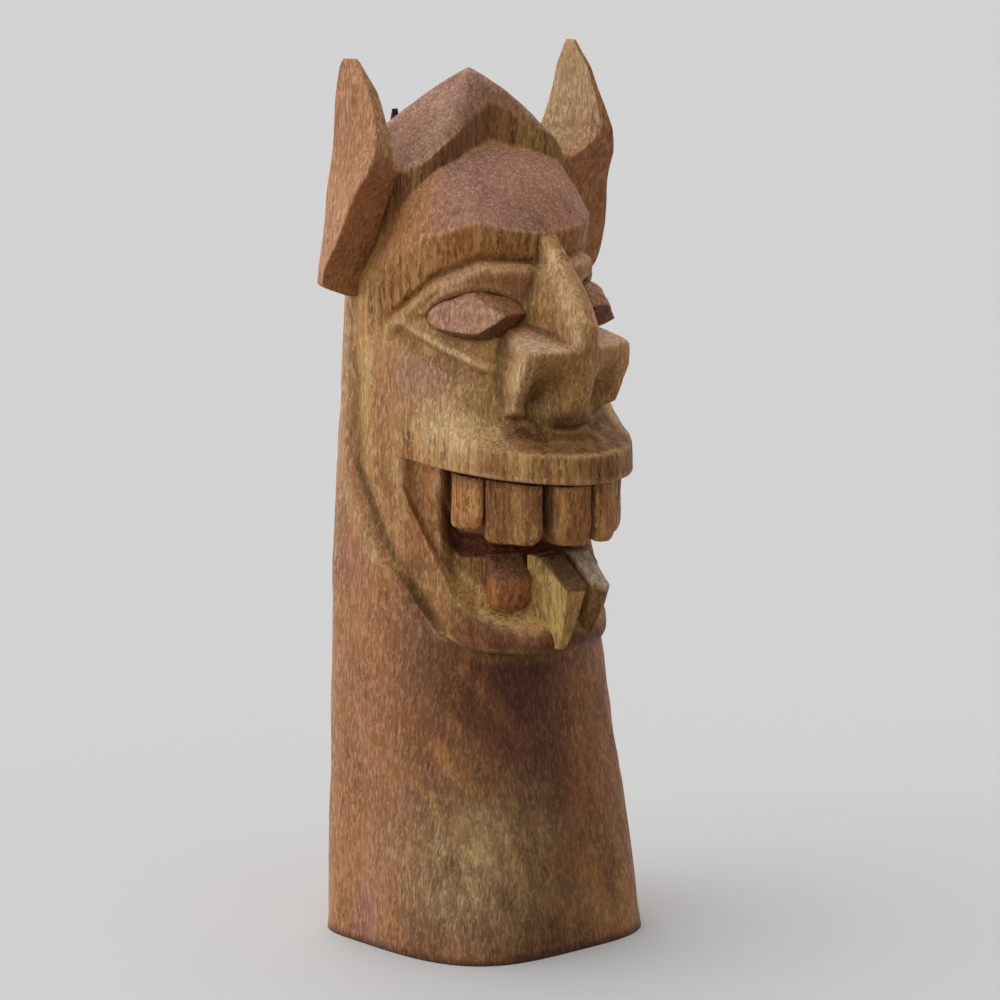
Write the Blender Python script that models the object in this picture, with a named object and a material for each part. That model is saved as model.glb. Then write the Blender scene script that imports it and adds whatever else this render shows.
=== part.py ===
"""A carved wooden figurehead: a grinning, long-eared monster head on a thick neck that is its own stand.

The head and neck are one block. Ears, eyes and teeth are let into it, and an iron nail hangs it by the back.
The face looks along -Y, +Z is up, and the origin is the middle of the foot.
"""

import math

import bmesh
import bpy
import numpy as np
from mathutils import Matrix, Vector

for old in list(bpy.data.objects):
    bpy.data.objects.remove(old)

# Sizes of the neck, in metres
FOOT_HALF_WIDTH = 0.0402    # half the width of the neck at the floor
FOOT_FRONT = 0.0395         # from the middle of the foot to its front
FOOT_BACK = 0.0340          # from the middle of the foot to its back
FOOT_ROUNDING = 0.0040      # height of the rounded edge at the floor
FOOT_INSET = 0.0026         # how far that edge is drawn in
NECK_HEIGHT = 0.0855        # from the floor to the underside of the chin
THROAT_FRONT = 0.0285       # how far forward the neck comes under the chin

# Sizes of the head: each height is measured from the feature below it
HEAD_HALF_WIDTH = 0.0360    # half the width of the head between the ears
HEAD_BACK = 0.0295          # from the middle of the foot to the back of the head
CHIN_FRONT = 0.0400         # how far forward the chin comes
CHIN_BAND = 0.0055          # height of the upright band round the chin
GUM_RISE = 0.0260           # from the underside of the chin to the top of the lower gum
MOUTH_RISE = 0.0490         # from the underside of the chin to the edge of the upper lip
MOUTH_CORNER = 63.0         # degrees round from the front to the corner of the mouth
MOUTH_CURL = 0.0055         # how far the lip's edge climbs to that corner
LIP_FRONT = 0.0500          # how far forward the upper lip comes
LIP_BAND = 0.0080           # height of the upright band of the lip
NOSE_RISE = 0.0160          # from the lip's edge to the underside of the nose
NOSE_HEIGHT = 0.0207        # height of the nostrils
NOSE_FRONT = 0.0466         # how far forward the tip of the nose comes
NOSE_HALF_WIDTH = 0.0183    # half the width across the nostrils
EYE_RISE = 0.0078           # from the top of the nostrils to the corners of the eyes
BROW_RISE = 0.0220          # from the corners of the eyes to the brow's edge at the nose
BROW_FRONT = 0.0280         # how far forward that edge comes
BROW_BAND = 0.0100          # height of the band under the brow
FOREHEAD_RISE = 0.0240      # from the brow's edge to the stop cut of the hair
STOP_CUT = 0.0110           # height of that upright cut in the middle
STOP_CUT_FRONT = 0.0022     # how far forward it stands there
CROWN_RISE = 0.0090         # from the hair's front edge to the top of the head
CROWN_BACK = 0.0067         # how far back that top lies
FIT = 0.0003                # clearance left round a let-in piece

LIP_EDGE = NECK_HEIGHT + MOUTH_RISE
NOSE_BOTTOM = LIP_EDGE + NOSE_RISE
NOSE_TOP = NOSE_BOTTOM + NOSE_HEIGHT
EYE_HEIGHT = NOSE_TOP + EYE_RISE
BROW_EDGE = EYE_HEIGHT + BROW_RISE
HAIRLINE = BROW_EDGE + FOREHEAD_RISE
HAIR_EDGE = HAIRLINE + STOP_CUT
CROWN_TOP = HAIR_EDGE + CROWN_RISE

# Every level of the block is drawn round one upright line, which stands behind the middle of the foot
AXIS_BACK = 0.0120
COLUMNS = 80                # upright columns of the mesh round the block
GATHER = 0.48               # how far those columns draw together towards the face


def mixed(low, high, share):
    return low + (high - low) * share


def ramp(value, start, end):
    """0 before start, 1 after end and a smooth rise between."""
    share = min(1, max(0, (value - start) / (end - start)))
    return share * share * (3 - 2 * share)


def merged(one, other, blend):
    """The larger of two distances, with the corner between them softened."""
    share = min(1, max(0, 0.5 + 0.5 * (other - one) / blend))
    return mixed(one, other, share) + blend * share * (1 - share) / 2


def keyed(angle, *pairs):
    """A value that runs through (degrees from the front, value) pairs, alike on both sides."""
    degrees, values = zip(*pairs)
    return float(np.interp(math.degrees(abs(angle)), degrees, values))


def in_face(angle, start, end):
    """1 in front of start degrees and 0 behind end degrees."""
    return 1 - ramp(math.degrees(abs(angle)), start, end)


def plan(angle, half_width, front, back, power):
    """Distance from the upright line to a rounded outline, towards angle (0 is the front)."""
    ahead = math.cos(angle)
    reach = front + AXIS_BACK if ahead > 0 else back - AXIS_BACK
    across = abs(math.sin(angle)) / half_width
    return (across**power + (abs(ahead) / reach) ** power) ** (-1 / power)


def place(angle, reach, height):
    """The point at a distance from the upright line."""
    return Vector((reach * math.sin(angle), AXIS_BACK - reach * math.cos(angle), height))


def column(angle, height):
    """The plain block: wide and squarish at the foot, rounder and slimmer at the head."""
    throat = min(1, height / NECK_HEIGHT)
    head = ramp(height, NECK_HEIGHT, BROW_EDGE)
    half_width = mixed(FOOT_HALF_WIDTH, HEAD_HALF_WIDTH, head)
    front = mixed(FOOT_FRONT, THROAT_FRONT, throat)
    back = mixed(FOOT_BACK, HEAD_BACK, head)
    squareness = 3.6 if math.cos(angle) > 0 else 3.2
    return plan(angle, half_width, front, back, mixed(squareness, 2.5, throat))


def jaw_height(angle):
    """The lower edge of the jaw, which climbs from the chin to the cheek."""
    climb = keyed(angle, (0, 0), (20, 0), (33, 0.02), (47, 0.11), (57, 0.28), (64, 0.45), (70, 0.5))
    return NECK_HEIGHT + MOUTH_RISE * climb


def seam_turn(height):
    """Degrees from the front to the seam where the face ends against the neck, which climbs on to the ear."""
    climb = (height - NECK_HEIGHT) / MOUTH_RISE
    climbs = (0.01, 0.11, 0.28, 0.44, 0.745, 1.1, 1.4, 2.05)
    return float(np.interp(climb, climbs, (33, 47, 57, 63, 77, 85, 90, 93)))


def rim_height(angle):
    """The upper edge of the lower jaw, which climbs to the corner of the mouth."""
    climb = keyed(
        angle, (20, 0.12), (32, 0.184), (42, 0.33), (50, 0.53), (60, 0.82), (MOUTH_CORNER, 0.94), (90, 1.02)
    )
    return NECK_HEIGHT + MOUTH_RISE * climb


def lip_height(angle):
    turn = min(1, math.degrees(abs(angle)) / MOUTH_CORNER)
    return LIP_EDGE + MOUTH_CURL * turn**1.5


def brow_height(angle):
    """The brow's edge, which arches over the eye and falls away to the ear."""
    arch = keyed(angle, (0, 0), (14, 0.05), (34, 0.18), (52, 0), (70, -0.32), (78, -0.64), (95, -0.90))
    return BROW_EDGE + BROW_RISE * arch


def hairline_height(angle):
    """The foot of the stop cut, which falls from the middle to the ears."""
    fall = keyed(angle, (0, 0), (30, 0.083), (50, 0.25), (66, 0.58), (78, 0.98), (92, 1.25), (120, 1))
    return HAIRLINE - FOREHEAD_RISE * fall


def hair_edge_height(angle):
    """The top of the stop cut, which dips between the hair and the ears."""
    fall = keyed(angle, (0, 0), (30, 0.41), (48, 1), (57, 1.41), (68, 1.64), (98, 1.55), (180, 1.27))
    return HAIR_EDGE - STOP_CUT * fall


TEETH_SET_BACK = 0.0030     # from the lip to the front of the upper teeth
TOOTH_THICK = 0.0062
MOUTH_DEPTH = 0.0140        # depth of the slot between the teeth
MOUTH_SLOT = 0.0050         # height of that slot
GUM_SET_BACK = 0.0085       # from the rim of the jaw back to the gum, over a sloping ledge


def tooth_line(angle):
    """Distance of the front of the upper teeth."""
    return plan(angle, HEAD_HALF_WIDTH - TEETH_SET_BACK, LIP_FRONT - TEETH_SET_BACK, HEAD_BACK, 2)


def stations(angle):
    """The upright profile of the block towards angle, as (height, distance) from the floor to the crown."""

    def carved(height, narrower, front, power, share):
        """The face's own outline over the face, and the plain block elsewhere."""
        face = plan(angle, HEAD_HALF_WIDTH - narrower, front, HEAD_BACK, power)
        return height, mixed(column(angle, height), face, share)

    middle = NECK_HEIGHT / 2
    neck = [
        (0, column(angle, 0) - FOOT_INSET),
        (FOOT_ROUNDING, column(angle, FOOT_ROUNDING)),
        (middle, column(angle, middle)),
    ]

    whole = in_face(angle, 96, 112)
    jaw = jaw_height(angle)
    rim = rim_height(angle)
    chin = [
        (jaw - CHIN_BAND / 5, column(angle, jaw)),
        carved(jaw, CHIN_BAND / 2, CHIN_FRONT - CHIN_BAND / 3, 2, whole),
        carved(mixed(jaw, rim, 0.6), 0.4 * CHIN_BAND, CHIN_FRONT, 2.05, whole),
        carved(rim, 0.36 * CHIN_BAND, CHIN_FRONT - CHIN_BAND / 9, 2.05, whole),
    ]

    lip = lip_height(angle)
    opening = in_face(angle, MOUTH_CORNER - 6, MOUTH_CORNER + 2)
    slot = in_face(angle, 43, 51)
    behind_teeth = in_face(angle, 47, 54)
    wall = tooth_line(angle) - mixed(TEETH_SET_BACK / 3, TOOTH_THICK + FIT, behind_teeth)
    lip_root = lip - 2 * FIT
    step = (lip_root - rim) / 6
    gum = max(NECK_HEIGHT + GUM_RISE, rim + 2 * step)
    rim_reach = chin[-1][1]
    lip_reach = carved(lip, 0, LIP_FRONT, 2, whole)[1]
    side_wall = min(wall, rim_reach - GUM_SET_BACK / 4)

    def inside(height, reach):
        cheek = mixed(rim_reach, lip_reach, (height - rim) / (lip - rim))
        return height, mixed(cheek, reach, opening)

    def gum_level(rise, steps):
        """A height above the gum in front, and shared out between rim and lip towards the corner."""
        return mixed(rim + steps * step, gum + rise * MOUTH_SLOT, slot)

    gum_reach = mixed(side_wall, rim_reach - GUM_SET_BACK, slot)
    mouth = [
        inside(mixed(rim + step, min(rim + GUM_SET_BACK, gum - step / 3), slot), gum_reach),
        inside(gum_level(0, 2), gum_reach),
        inside(gum_level(0.4, 3), mixed(side_wall, rim_reach - MOUTH_DEPTH, slot)),
        inside(gum_level(1, 4), wall - 0.6 * MOUTH_DEPTH * slot),
        inside(gum_level(1.6, 5), wall),
        inside(lip_root, wall),
    ]

    brow = brow_height(angle)
    crease = brow - BROW_BAND * keyed(angle, (0, 0.8), (31, 0.94), (50, 1.18), (66, 1.5), (95, 1.1))
    cheek_front = mixed(BROW_FRONT, LIP_FRONT, 0.18)
    upper = [
        (lip, lip_reach),
        carved(lip + LIP_BAND, 0, LIP_FRONT - FIT, 2, whole),
        carved(NOSE_BOTTOM + NOSE_HEIGHT / 8, 0, mixed(BROW_FRONT, LIP_FRONT, 0.45), 2.2, whole),
        carved(mixed(NOSE_BOTTOM, NOSE_TOP, 0.7), 0, cheek_front, 2.3, whole),
        carved(min(EYE_HEIGHT, crease - BROW_BAND / 4), FIT, 0.92 * BROW_FRONT, 2.4, whole),
        carved(crease - BROW_BAND / 7, 0, BROW_FRONT, 2.4, whole),
        carved(crease, BROW_BAND / 10, BROW_FRONT - BROW_BAND / 7, 2.4, whole),
        carved(brow, 0, BROW_FRONT, 2.4, whole),
    ]

    hairline = hairline_height(angle)
    spread = keyed(angle, (0, 0), (25, 0.15), (50, 0.66), (62, 0.8), (75, 0.77), (92, 0.75))
    stop_cut = mixed(STOP_CUT_FRONT + AXIS_BACK, HEAD_HALF_WIDTH, spread)
    stop_cut = mixed(column(angle, hairline), stop_cut, in_face(angle, 92, 112))
    top = [
        (mixed(brow, hairline, 0.55), mixed(upper[-1][1], stop_cut, 0.40)),
        (hairline, stop_cut),
        (hair_edge_height(angle), stop_cut),
    ]
    return neck + chin + mouth + upper + top


def face_reach(angle, height):
    """Distance of the face, without the nose, at a height."""
    heights, reaches = zip(*stations(angle))
    return float(np.interp(height, heights, reaches))


NOSE_TURN = math.radians(40)    # the nose lies within this turn from the front


def nose_reach(angle, height):
    """How far the nose stands out towards angle: a narrow ridge over two blunt nostrils with hollow fronts."""
    climb = (height - NOSE_BOTTOM) / NOSE_HEIGHT
    top = (BROW_EDGE - NOSE_BOTTOM) / NOSE_HEIGHT
    ridge = AXIS_BACK + float(np.interp(
        climb, (-0.1, 0, 0.36, 0.75, 1, 1.28), (0.75, 0.84, 0.925, 0.99, 1, 1)
    )) * NOSE_FRONT
    if climb > 1.28:
        ridge = mixed(ridge, AXIS_BACK + BROW_FRONT, (climb - 1.28) / (top - 1.28))
    across = abs(math.sin(angle))
    ahead = math.cos(angle)
    strip = NOSE_HALF_WIDTH * float(np.interp(climb, (1, 1.3, top), (0.25, 0.23, 0.13)))
    under = ramp(-climb, -0.07, 0.12)
    bridge = min(ridge / (ahead + 0.5 * across), (ridge + 4 * strip) / (ahead + 4.5 * across))
    bridge -= NOSE_FRONT * max(under, ramp(climb, top, top + 0.2))
    wings = ridge / (ahead + 0.33 * across)
    side = wings * across / NOSE_HALF_WIDTH
    hollow = math.exp(-((side - 0.52) / 0.25) ** 2 - ((climb - 0.29) / 0.29) ** 2)
    wings -= 0.09 * NOSE_FRONT * hollow + 3 * NOSE_HEIGHT * max(0, climb - 1)
    wings -= NOSE_FRONT * max(ramp(side, 0.92, 1.22), under)
    return max(bridge, wings)


UNDER_JAW = 3                   # the station where the neck ends under the jaw


def surface(angle, level):
    """Height and distance of the block's surface at a level, counted in stations from the floor."""
    points = stations(angle)
    index = min(int(level), len(points) - 2)
    height, reach = (mixed(low, high, level - index) for low, high in zip(points[index], points[index + 1]))
    seam = seam_turn(height)
    if UNDER_JAW < level and height < BROW_EDGE:
        reach = mixed(reach, column(angle, height), ramp(math.degrees(abs(angle)), seam - 0.5, seam + 6))
    if NOSE_BOTTOM - NOSE_HEIGHT / 5 < height < BROW_EDGE + NOSE_HEIGHT / 5 and abs(angle) < NOSE_TURN:
        reach = merged(reach, nose_reach(angle, height), NOSE_HALF_WIDTH / 18)
    return height, reach


def material(name, colour, roughness, metallic=0):
    made = bpy.data.materials.new(name)
    made.use_nodes = True
    shader = made.node_tree.nodes["Principled BSDF"]
    shader.inputs["Base Color"].default_value = (*colour, 1)
    shader.inputs["Roughness"].default_value = roughness
    shader.inputs["Metallic"].default_value = metallic
    return made


OLD_WOOD = material("carved_wood", (0.20, 0.10, 0.06), 0.6)
EAR_WOOD = material("ear_wood", (0.35, 0.16, 0.06), 0.55)
TOOTH_WOOD = material("tooth_wood", (0.45, 0.28, 0.12), 0.6)
EYE_WOOD = material("eye_wood", (0.34, 0.22, 0.11), 0.55)
IRON = material("dark_iron", (0.03, 0.03, 0.03), 0.5, 1)


def finish(name, bm, made_of):
    """Close a mesh into a named object."""
    bmesh.ops.remove_doubles(bm, verts=bm.verts, dist=1e-6)
    bmesh.ops.triangulate(bm, faces=bm.faces)
    bmesh.ops.recalc_face_normals(bm, faces=bm.faces)
    mesh = bpy.data.meshes.new(name)
    bm.to_mesh(mesh)
    bm.free()
    mesh.materials.append(made_of)
    item = bpy.data.objects.new(name, mesh)
    bpy.context.collection.objects.link(item)
    return item


def combine(target, name, bm, operation):
    """Cut a shape out of a piece, or join it on."""
    tool = finish(name, bm, OLD_WOOD)
    tool.hide_render = True
    tool.display_type = 'WIRE'
    boolean = target.modifiers.new(name, 'BOOLEAN')
    boolean.operation = operation
    boolean.solver = 'EXACT'
    boolean.object = tool


def block_between(low, high):
    """A box between two opposite corners."""
    bm = bmesh.new()
    low, high = Vector(low), Vector(high)
    stretch = Matrix.Diagonal((*(high - low), 1))
    bmesh.ops.create_cube(bm, size=1, matrix=Matrix.Translation((low + high) / 2) @ stretch)
    return bm


def shell(across, up, outer, inner):
    """A shape between an outer and an inner face over the same square of (u, v) from -1 to 1."""
    bm = bmesh.new()
    bmesh.ops.create_grid(bm, x_segments=across, y_segments=up, size=1)
    back = list(bm.verts)
    made = bmesh.ops.extrude_face_region(bm, geom=list(bm.faces), use_keep_orig=True)["geom"]
    for vert in back:
        vert.co = inner(vert.co.x, vert.co.y)
    for vert in made:
        if isinstance(vert, bmesh.types.BMVert):
            vert.co = outer(vert.co.x, vert.co.y)
    return bm


# The head block: a plain cylinder whose rings are drawn out to the carved profile
RINGS = (1, 4, 4, 1, 2, 1, 2, 2, 1, 1, 1, 3, 1, 3, 3, 5, 5, 4, 1, 3, 3, 3, 3)  # rings between stations
CROWN_RINGS = 5
levels = [index + step / count for index, count in enumerate(RINGS) for step in range(count)]
levels.append(float(len(RINGS)))
rows = len(levels) + CROWN_RINGS
block = bmesh.new()
bmesh.ops.create_cone(
    block, cap_ends=True, segments=COLUMNS, radius1=1, radius2=1, depth=rows - 1,
    matrix=Matrix.Translation((0, 0, (rows - 1) / 2)) @ Matrix.Rotation(math.pi / COLUMNS, 4, 'Z'),
)
uprights = [edge for edge in block.edges if abs(edge.verts[0].co.z - edge.verts[1].co.z) > 0.5]
bmesh.ops.subdivide_edges(block, edges=uprights, cuts=rows - 2)
crown = Vector((0, CROWN_BACK, CROWN_TOP))
for vert in block.verts:
    row = round(vert.co.z)
    even = math.atan2(vert.co.x, -vert.co.y)
    angle = even - GATHER * math.sin(even)
    height, reach = surface(angle, levels[min(row, len(levels) - 1)])
    spot = place(angle, reach, height)
    climb = max(0, row - len(levels) + 1) / CROWN_RINGS
    share = min(climb, 0.98)
    vert.co = spot.lerp(crown, share)
    vert.co.z += 0.9 * CROWN_RISE * share * (1 - share)
    if climb == 1:
        vert.co.z = CROWN_TOP
head = finish("head_block", block, OLD_WOOD)

# The ears: leaf-shaped wedges with a tenon, each seated in a flat let into the side of the head
EAR_SEAT = 0.0280           # distance of the flat from the middle
EAR_DROP = 0.0160           # from the brow's edge down to the foot of the ear
EAR_LENGTH = 0.0650
EAR_WIDTH = 0.0197          # from the flat to the outer corner
EAR_DEPTH = 0.0232          # from the front corner to the back
EAR_BACK = 0.0172           # how far back the ear reaches
EAR_LEVELS = (
    # share of the length, then inner front, outer front, outer back, inner back as shares of width and depth
    (0.00, (0.14, 0.14), (0.34, 0.12), (0.34, 0.03), (0.00, 0.00)),
    (0.10, (0.14, 0.22), (0.97, 0.24), (0.86, 0.00), (0.00, 0.00)),
    (0.20, (0.14, 0.33), (1.00, 0.50), (0.83, 0.00), (0.00, 0.00)),
    (0.31, (0.16, 0.44), (0.98, 0.66), (0.79, 0.01), (0.00, 0.01)),
    (0.54, (0.19, 0.76), (0.80, 1.00), (0.70, 0.02), (0.00, 0.03)),
    (0.61, (0.09, 0.53), (0.76, 0.99), (0.67, 0.02), (0.00, 0.05)),
    (0.79, (0.41, 0.40), (0.66, 0.93), (0.65, 0.03), (0.32, 0.07)),
    (0.91, (0.50, 0.40), (0.63, 0.77), (0.64, 0.10), (0.49, 0.15)),
    (1.00, (0.56, 0.42), (0.61, 0.54), (0.63, 0.32), (0.57, 0.34)),
)
TENON_LENGTH = 0.0060
TENON_ROOT = 0.0030         # how far the tenon's root runs into the ear
TENON_SPAN = (0.20, 0.45)   # its lower and upper side, as shares of the ear's length
TENON_THICK = (0.08, 0.30)  # its back and front, as shares of the ear's depth
ear_foot = BROW_EDGE - EAR_DROP
tenon_low, tenon_high = (ear_foot + EAR_LENGTH * share for share in TENON_SPAN)
tenon_back, tenon_front = (EAR_BACK - EAR_DEPTH * share for share in TENON_THICK)


def ear_mesh(side, room):
    """A loft through the ear's levels, grown all round by room."""
    bm = bmesh.new()
    loops = []
    for level, *corners in EAR_LEVELS:
        ring = []
        for number, (out, ahead) in enumerate(corners):
            x = EAR_SEAT + FIT + EAR_WIDTH * out + (room if number in (1, 2) else -room)
            y = EAR_BACK - EAR_DEPTH * ahead - (room if number in (0, 1) else -room)
            ring.append(bm.verts.new((side * x, y, ear_foot - room + (EAR_LENGTH + room) * level)))
        loops.append([bm.edges.new((ring[turn], ring[(turn + 1) % 4])) for turn in range(4)])
    for lower, upper in zip(loops, loops[1:]):
        bmesh.ops.bridge_loops(bm, edges=lower + upper)
    bmesh.ops.holes_fill(bm, edges=bm.edges)
    bmesh.ops.triangulate(bm, faces=bm.faces, quad_method='FIXED')
    return bm


for side, name in ((-1, "right_ear"), (1, "left_ear")):
    ear = finish(name, ear_mesh(side, 0), EAR_WOOD)
    combine(ear, name + "_tenon", block_between(
        (side * (EAR_SEAT - TENON_LENGTH), tenon_front, tenon_low),
        (side * (EAR_SEAT + FIT + TENON_ROOT), tenon_back, tenon_high),
    ), 'UNION')
    combine(head, name + "_seat", ear_mesh(side, FIT), 'DIFFERENCE')
    combine(head, name + "_mortise", block_between(
        (side * (EAR_SEAT - TENON_LENGTH - FIT), tenon_front - FIT, tenon_low - FIT),
        (side * (EAR_SEAT + 2 * FIT + TENON_ROOT), tenon_back + FIT, tenon_high + FIT),
    ), 'DIFFERENCE')

# The eyes: almond-shaped lenses, each in a socket cut to its outline
EYE_TURN = math.radians(32.5)       # from the front to the middle of an eye
EYE_HALF_TURN = math.radians(19.5)  # half the width of an eye
EYE_UP = 0.0074                     # height of its upper edge above its corners
EYE_DOWN = 0.0060                   # depth of its lower edge below them
EYE_SINK = 0.0020                   # depth of the socket
EYE_BULGE = 0.0080                  # how far the eye stands out of the face
EYE_RIM = 0.0006                    # thickness of the eye's edge above the face
ALMOND = 1.7                        # how round the eye's outline is


def eye_point(side, u, v, room, out):
    """A point of the eye's outline grown by room, out from the face."""
    angle = EYE_TURN + (EYE_HALF_TURN + room / HEAD_HALF_WIDTH) * u
    half = (EYE_UP if v > 0 else EYE_DOWN) + room
    height = EYE_HEIGHT + v * (half * (1 - abs(u) ** ALMOND) ** (1 / ALMOND) + room)
    return place(side * angle, face_reach(angle, height) + out, height)


def eye_dome(u, v):
    """A roof whose ridge climbs from the outer corner to a blunt point near the nose."""
    ridge = EYE_BULGE * float(np.interp(u, (-1, -0.7, -0.4, 0.2, 1), (0, 0.74, 1, 0.7, 0)))
    crest = float(np.interp(u, (-1, -0.4, 1), (0, -0.1, -0.3)))
    slope = (1 - v) / (1 - crest) if v > crest else (v + 1) / (crest + 1)
    return EYE_RIM + ridge * max(0, slope) ** 0.8


for side, name in ((-1, "right_eye"), (1, "left_eye")):
    finish(name, shell(
        10, 6,
        lambda u, v: eye_point(side, u, v, 0, eye_dome(u, v)),
        lambda u, v: eye_point(side, u, v, 0, -EYE_SINK),
    ), EYE_WOOD)
    combine(head, name + "_socket", shell(
        10, 6,
        lambda u, v: eye_point(side, u, v, FIT, 2 * EYE_BULGE),
        lambda u, v: eye_point(side, u, v, FIT, -EYE_SINK - FIT),
    ), 'DIFFERENCE')

# The upper teeth: blocks that hang from the lip, three to a side
TOOTH_TURNS = ((0.8, 12.0), (14.4, 30.2), (30.9, 42.3))     # degrees from the front to their sides
TOOTH_LENGTHS = (0.0175, 0.0175, 0.0135)
TOOTH_WEAR = 0.0012


def tooth_point(side, turns, length, u, v, inward):
    angle = math.radians(mixed(*turns, (u + 1) / 2))
    height = mixed(LIP_EDGE - length, lip_height(angle) - 3 * FIT, (v + 1) / 2)
    return place(side * angle, tooth_line(angle) - inward, height)


for side, hand in ((-1, "right"), (1, "left")):
    for number, (turns, length) in enumerate(zip(TOOTH_TURNS, TOOTH_LENGTHS), 1):
        finish(f"{hand}_upper_tooth_{number}", shell(
            4, 4,
            lambda u, v: tooth_point(side, turns, length, u, v, TOOTH_WEAR * (u**4 + max(0, -v) ** 4)),
            lambda u, v: tooth_point(side, turns, length, u, v, TOOTH_THICK),
        ), TOOTH_WOOD)

# The lower teeth: two tall tusks in the middle and a short stub beside each, let into the gum
TUSK_DROP = 0.0240          # depth of a tusk's foot below the gum
TUSK_FRONT = 0.0042         # how far a tusk stands out of the chin
TUSK_ROOT = 0.0100          # how far back it runs behind the chin's front
TUSK_GAP = 0.0012           # half the gap between the tusks at the top
TUSK_SPREAD = 0.0036        # how much further apart they are at the foot
TUSK_WIDTH = 0.0074         # width of a tusk at the top, where it leaves the chin
TUSK_FLARE = 0.0010         # how much wider it is at the root
STUB_TURNS = (14.2, 27.8)
STUB_DROP = 0.0140
STUB_FRONT = -0.0050        # how far its front stands behind the chin's
STUB_ROOT = 0.0160
LOWER_RISE = 0.0017         # height of the lower teeth above the gum
TOP_SLOPE = 0.0075          # how far their sloping tops fall to the front
TOP_SHARE = 0.4             # the front is below this share of the way up, and the sloping top above it
chin_reach = CHIN_FRONT + AXIS_BACK
gum_top = NECK_HEIGHT + GUM_RISE


def lower_height(drop, v, room):
    """Height up the front of a lower tooth and on over its top."""
    edge = gum_top - TOP_SLOPE
    if v < TOP_SHARE:
        return mixed(gum_top - drop - room, edge, (v + 1) / (TOP_SHARE + 1))
    return mixed(edge, gum_top + LOWER_RISE + room, (v - TOP_SHARE) / (1 - TOP_SHARE))


def tusk_point(side, u, v, room, ahead):
    """A prow: u runs from the middle outwards."""
    climb = min(1, (v + 1) / (TOP_SHARE + 1))
    middle = TUSK_GAP + TUSK_SPREAD * (1 - climb) - room
    outer = TUSK_GAP + TUSK_WIDTH + room - TUSK_FLARE * ahead / TUSK_ROOT
    x = side * mixed(middle, outer, (u + 1) / 2)
    return Vector((x, -CHIN_FRONT - ahead, lower_height(TUSK_DROP, v, room)))


def tusk_ahead(u, v):
    over = max(0, (v - TOP_SHARE) / (1 - TOP_SHARE))
    climb = min(1, (v + 1) / (TOP_SHARE + 1))
    return mixed(mixed(0.1, 1, climb) * TUSK_FRONT, -TUSK_ROOT / 2, over)


def stub_point(side, u, v, room, ahead):
    turn = math.radians(mixed(*STUB_TURNS, (u + 1) / 2)) + u * room / CHIN_FRONT
    return place(side * turn, chin_reach + ahead, lower_height(STUB_DROP, v, room))


def stub_ahead(u, v):
    over = max(0, (v - TOP_SHARE) / (1 - TOP_SHARE))
    return STUB_FRONT - LOWER_RISE * u**4 - 0.45 * STUB_ROOT * over


for label, point, ahead, root in (
    ("tusk", tusk_point, tusk_ahead, TUSK_ROOT),
    ("stub", stub_point, stub_ahead, STUB_ROOT),
):
    for side, hand in ((-1, "right"), (1, "left")):
        finish(f"{hand}_{label}", shell(
            6, 10,
            lambda u, v: point(side, u, v, 0, ahead(u, v)),
            lambda u, v: point(side, u, v, 0, -root - FIT),
        ), TOOTH_WOOD)
        combine(head, f"{hand}_{label}_pocket", shell(
            6, 10,
            lambda u, v: point(side, u, v, FIT, 3 * TUSK_FRONT),
            lambda u, v: point(side, u, v, FIT, -root - 2 * FIT),
        ), 'DIFFERENCE')

# The hanging nail: a cut nail driven into the back of the head and bent up to a point
NAIL_THICK = 0.0020
NAIL_SIDE = 0.0040          # off the middle, towards the figure's right
NAIL_DROP = 0.0250          # from the hair's front edge down to the nail
NAIL_DEEP = 0.0120          # how far it is driven in
NAIL_OUT = 0.0045           # how far it stands out
NAIL_RISE = 0.0200          # length of the bent-up end
NAIL_POINT = 0.0040         # length of its point
nail_foot = HAIR_EDGE - NAIL_DROP
inner_end = HEAD_BACK - NAIL_DEEP
outer_end = HEAD_BACK + NAIL_OUT
tip = nail_foot + NAIL_RISE
nail = bmesh.new()
outline = [
    nail.verts.new((-NAIL_SIDE - NAIL_THICK / 2, y, z)) for y, z in (
        (inner_end, nail_foot), (outer_end, nail_foot), (outer_end, tip - NAIL_POINT),
        (outer_end - NAIL_THICK / 2, tip), (outer_end - NAIL_THICK, tip - NAIL_POINT),
        (outer_end - NAIL_THICK, nail_foot + NAIL_THICK), (inner_end, nail_foot + NAIL_THICK),
    )
]
flat = nail.faces.new(outline)
thick = bmesh.ops.extrude_face_region(nail, geom=[flat], use_keep_orig=True)["geom"]
bmesh.ops.translate(
    nail, verts=[item for item in thick if isinstance(item, bmesh.types.BMVert)], vec=(NAIL_THICK, 0, 0)
)
finish("hanging_nail", nail, IRON)
combine(head, "nail_hole", block_between(
    (-NAIL_SIDE - NAIL_THICK / 2 - FIT, inner_end - FIT, nail_foot - FIT),
    (-NAIL_SIDE + NAIL_THICK / 2 + FIT, outer_end + NAIL_OUT, nail_foot + NAIL_THICK + FIT),
), 'DIFFERENCE')
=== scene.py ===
"""Looks of the carved figurehead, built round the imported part: wood, tool marks, wear, light and camera."""

import math

import bmesh
import bpy
import numpy as np
from mathutils import Matrix, Vector, noise


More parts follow.
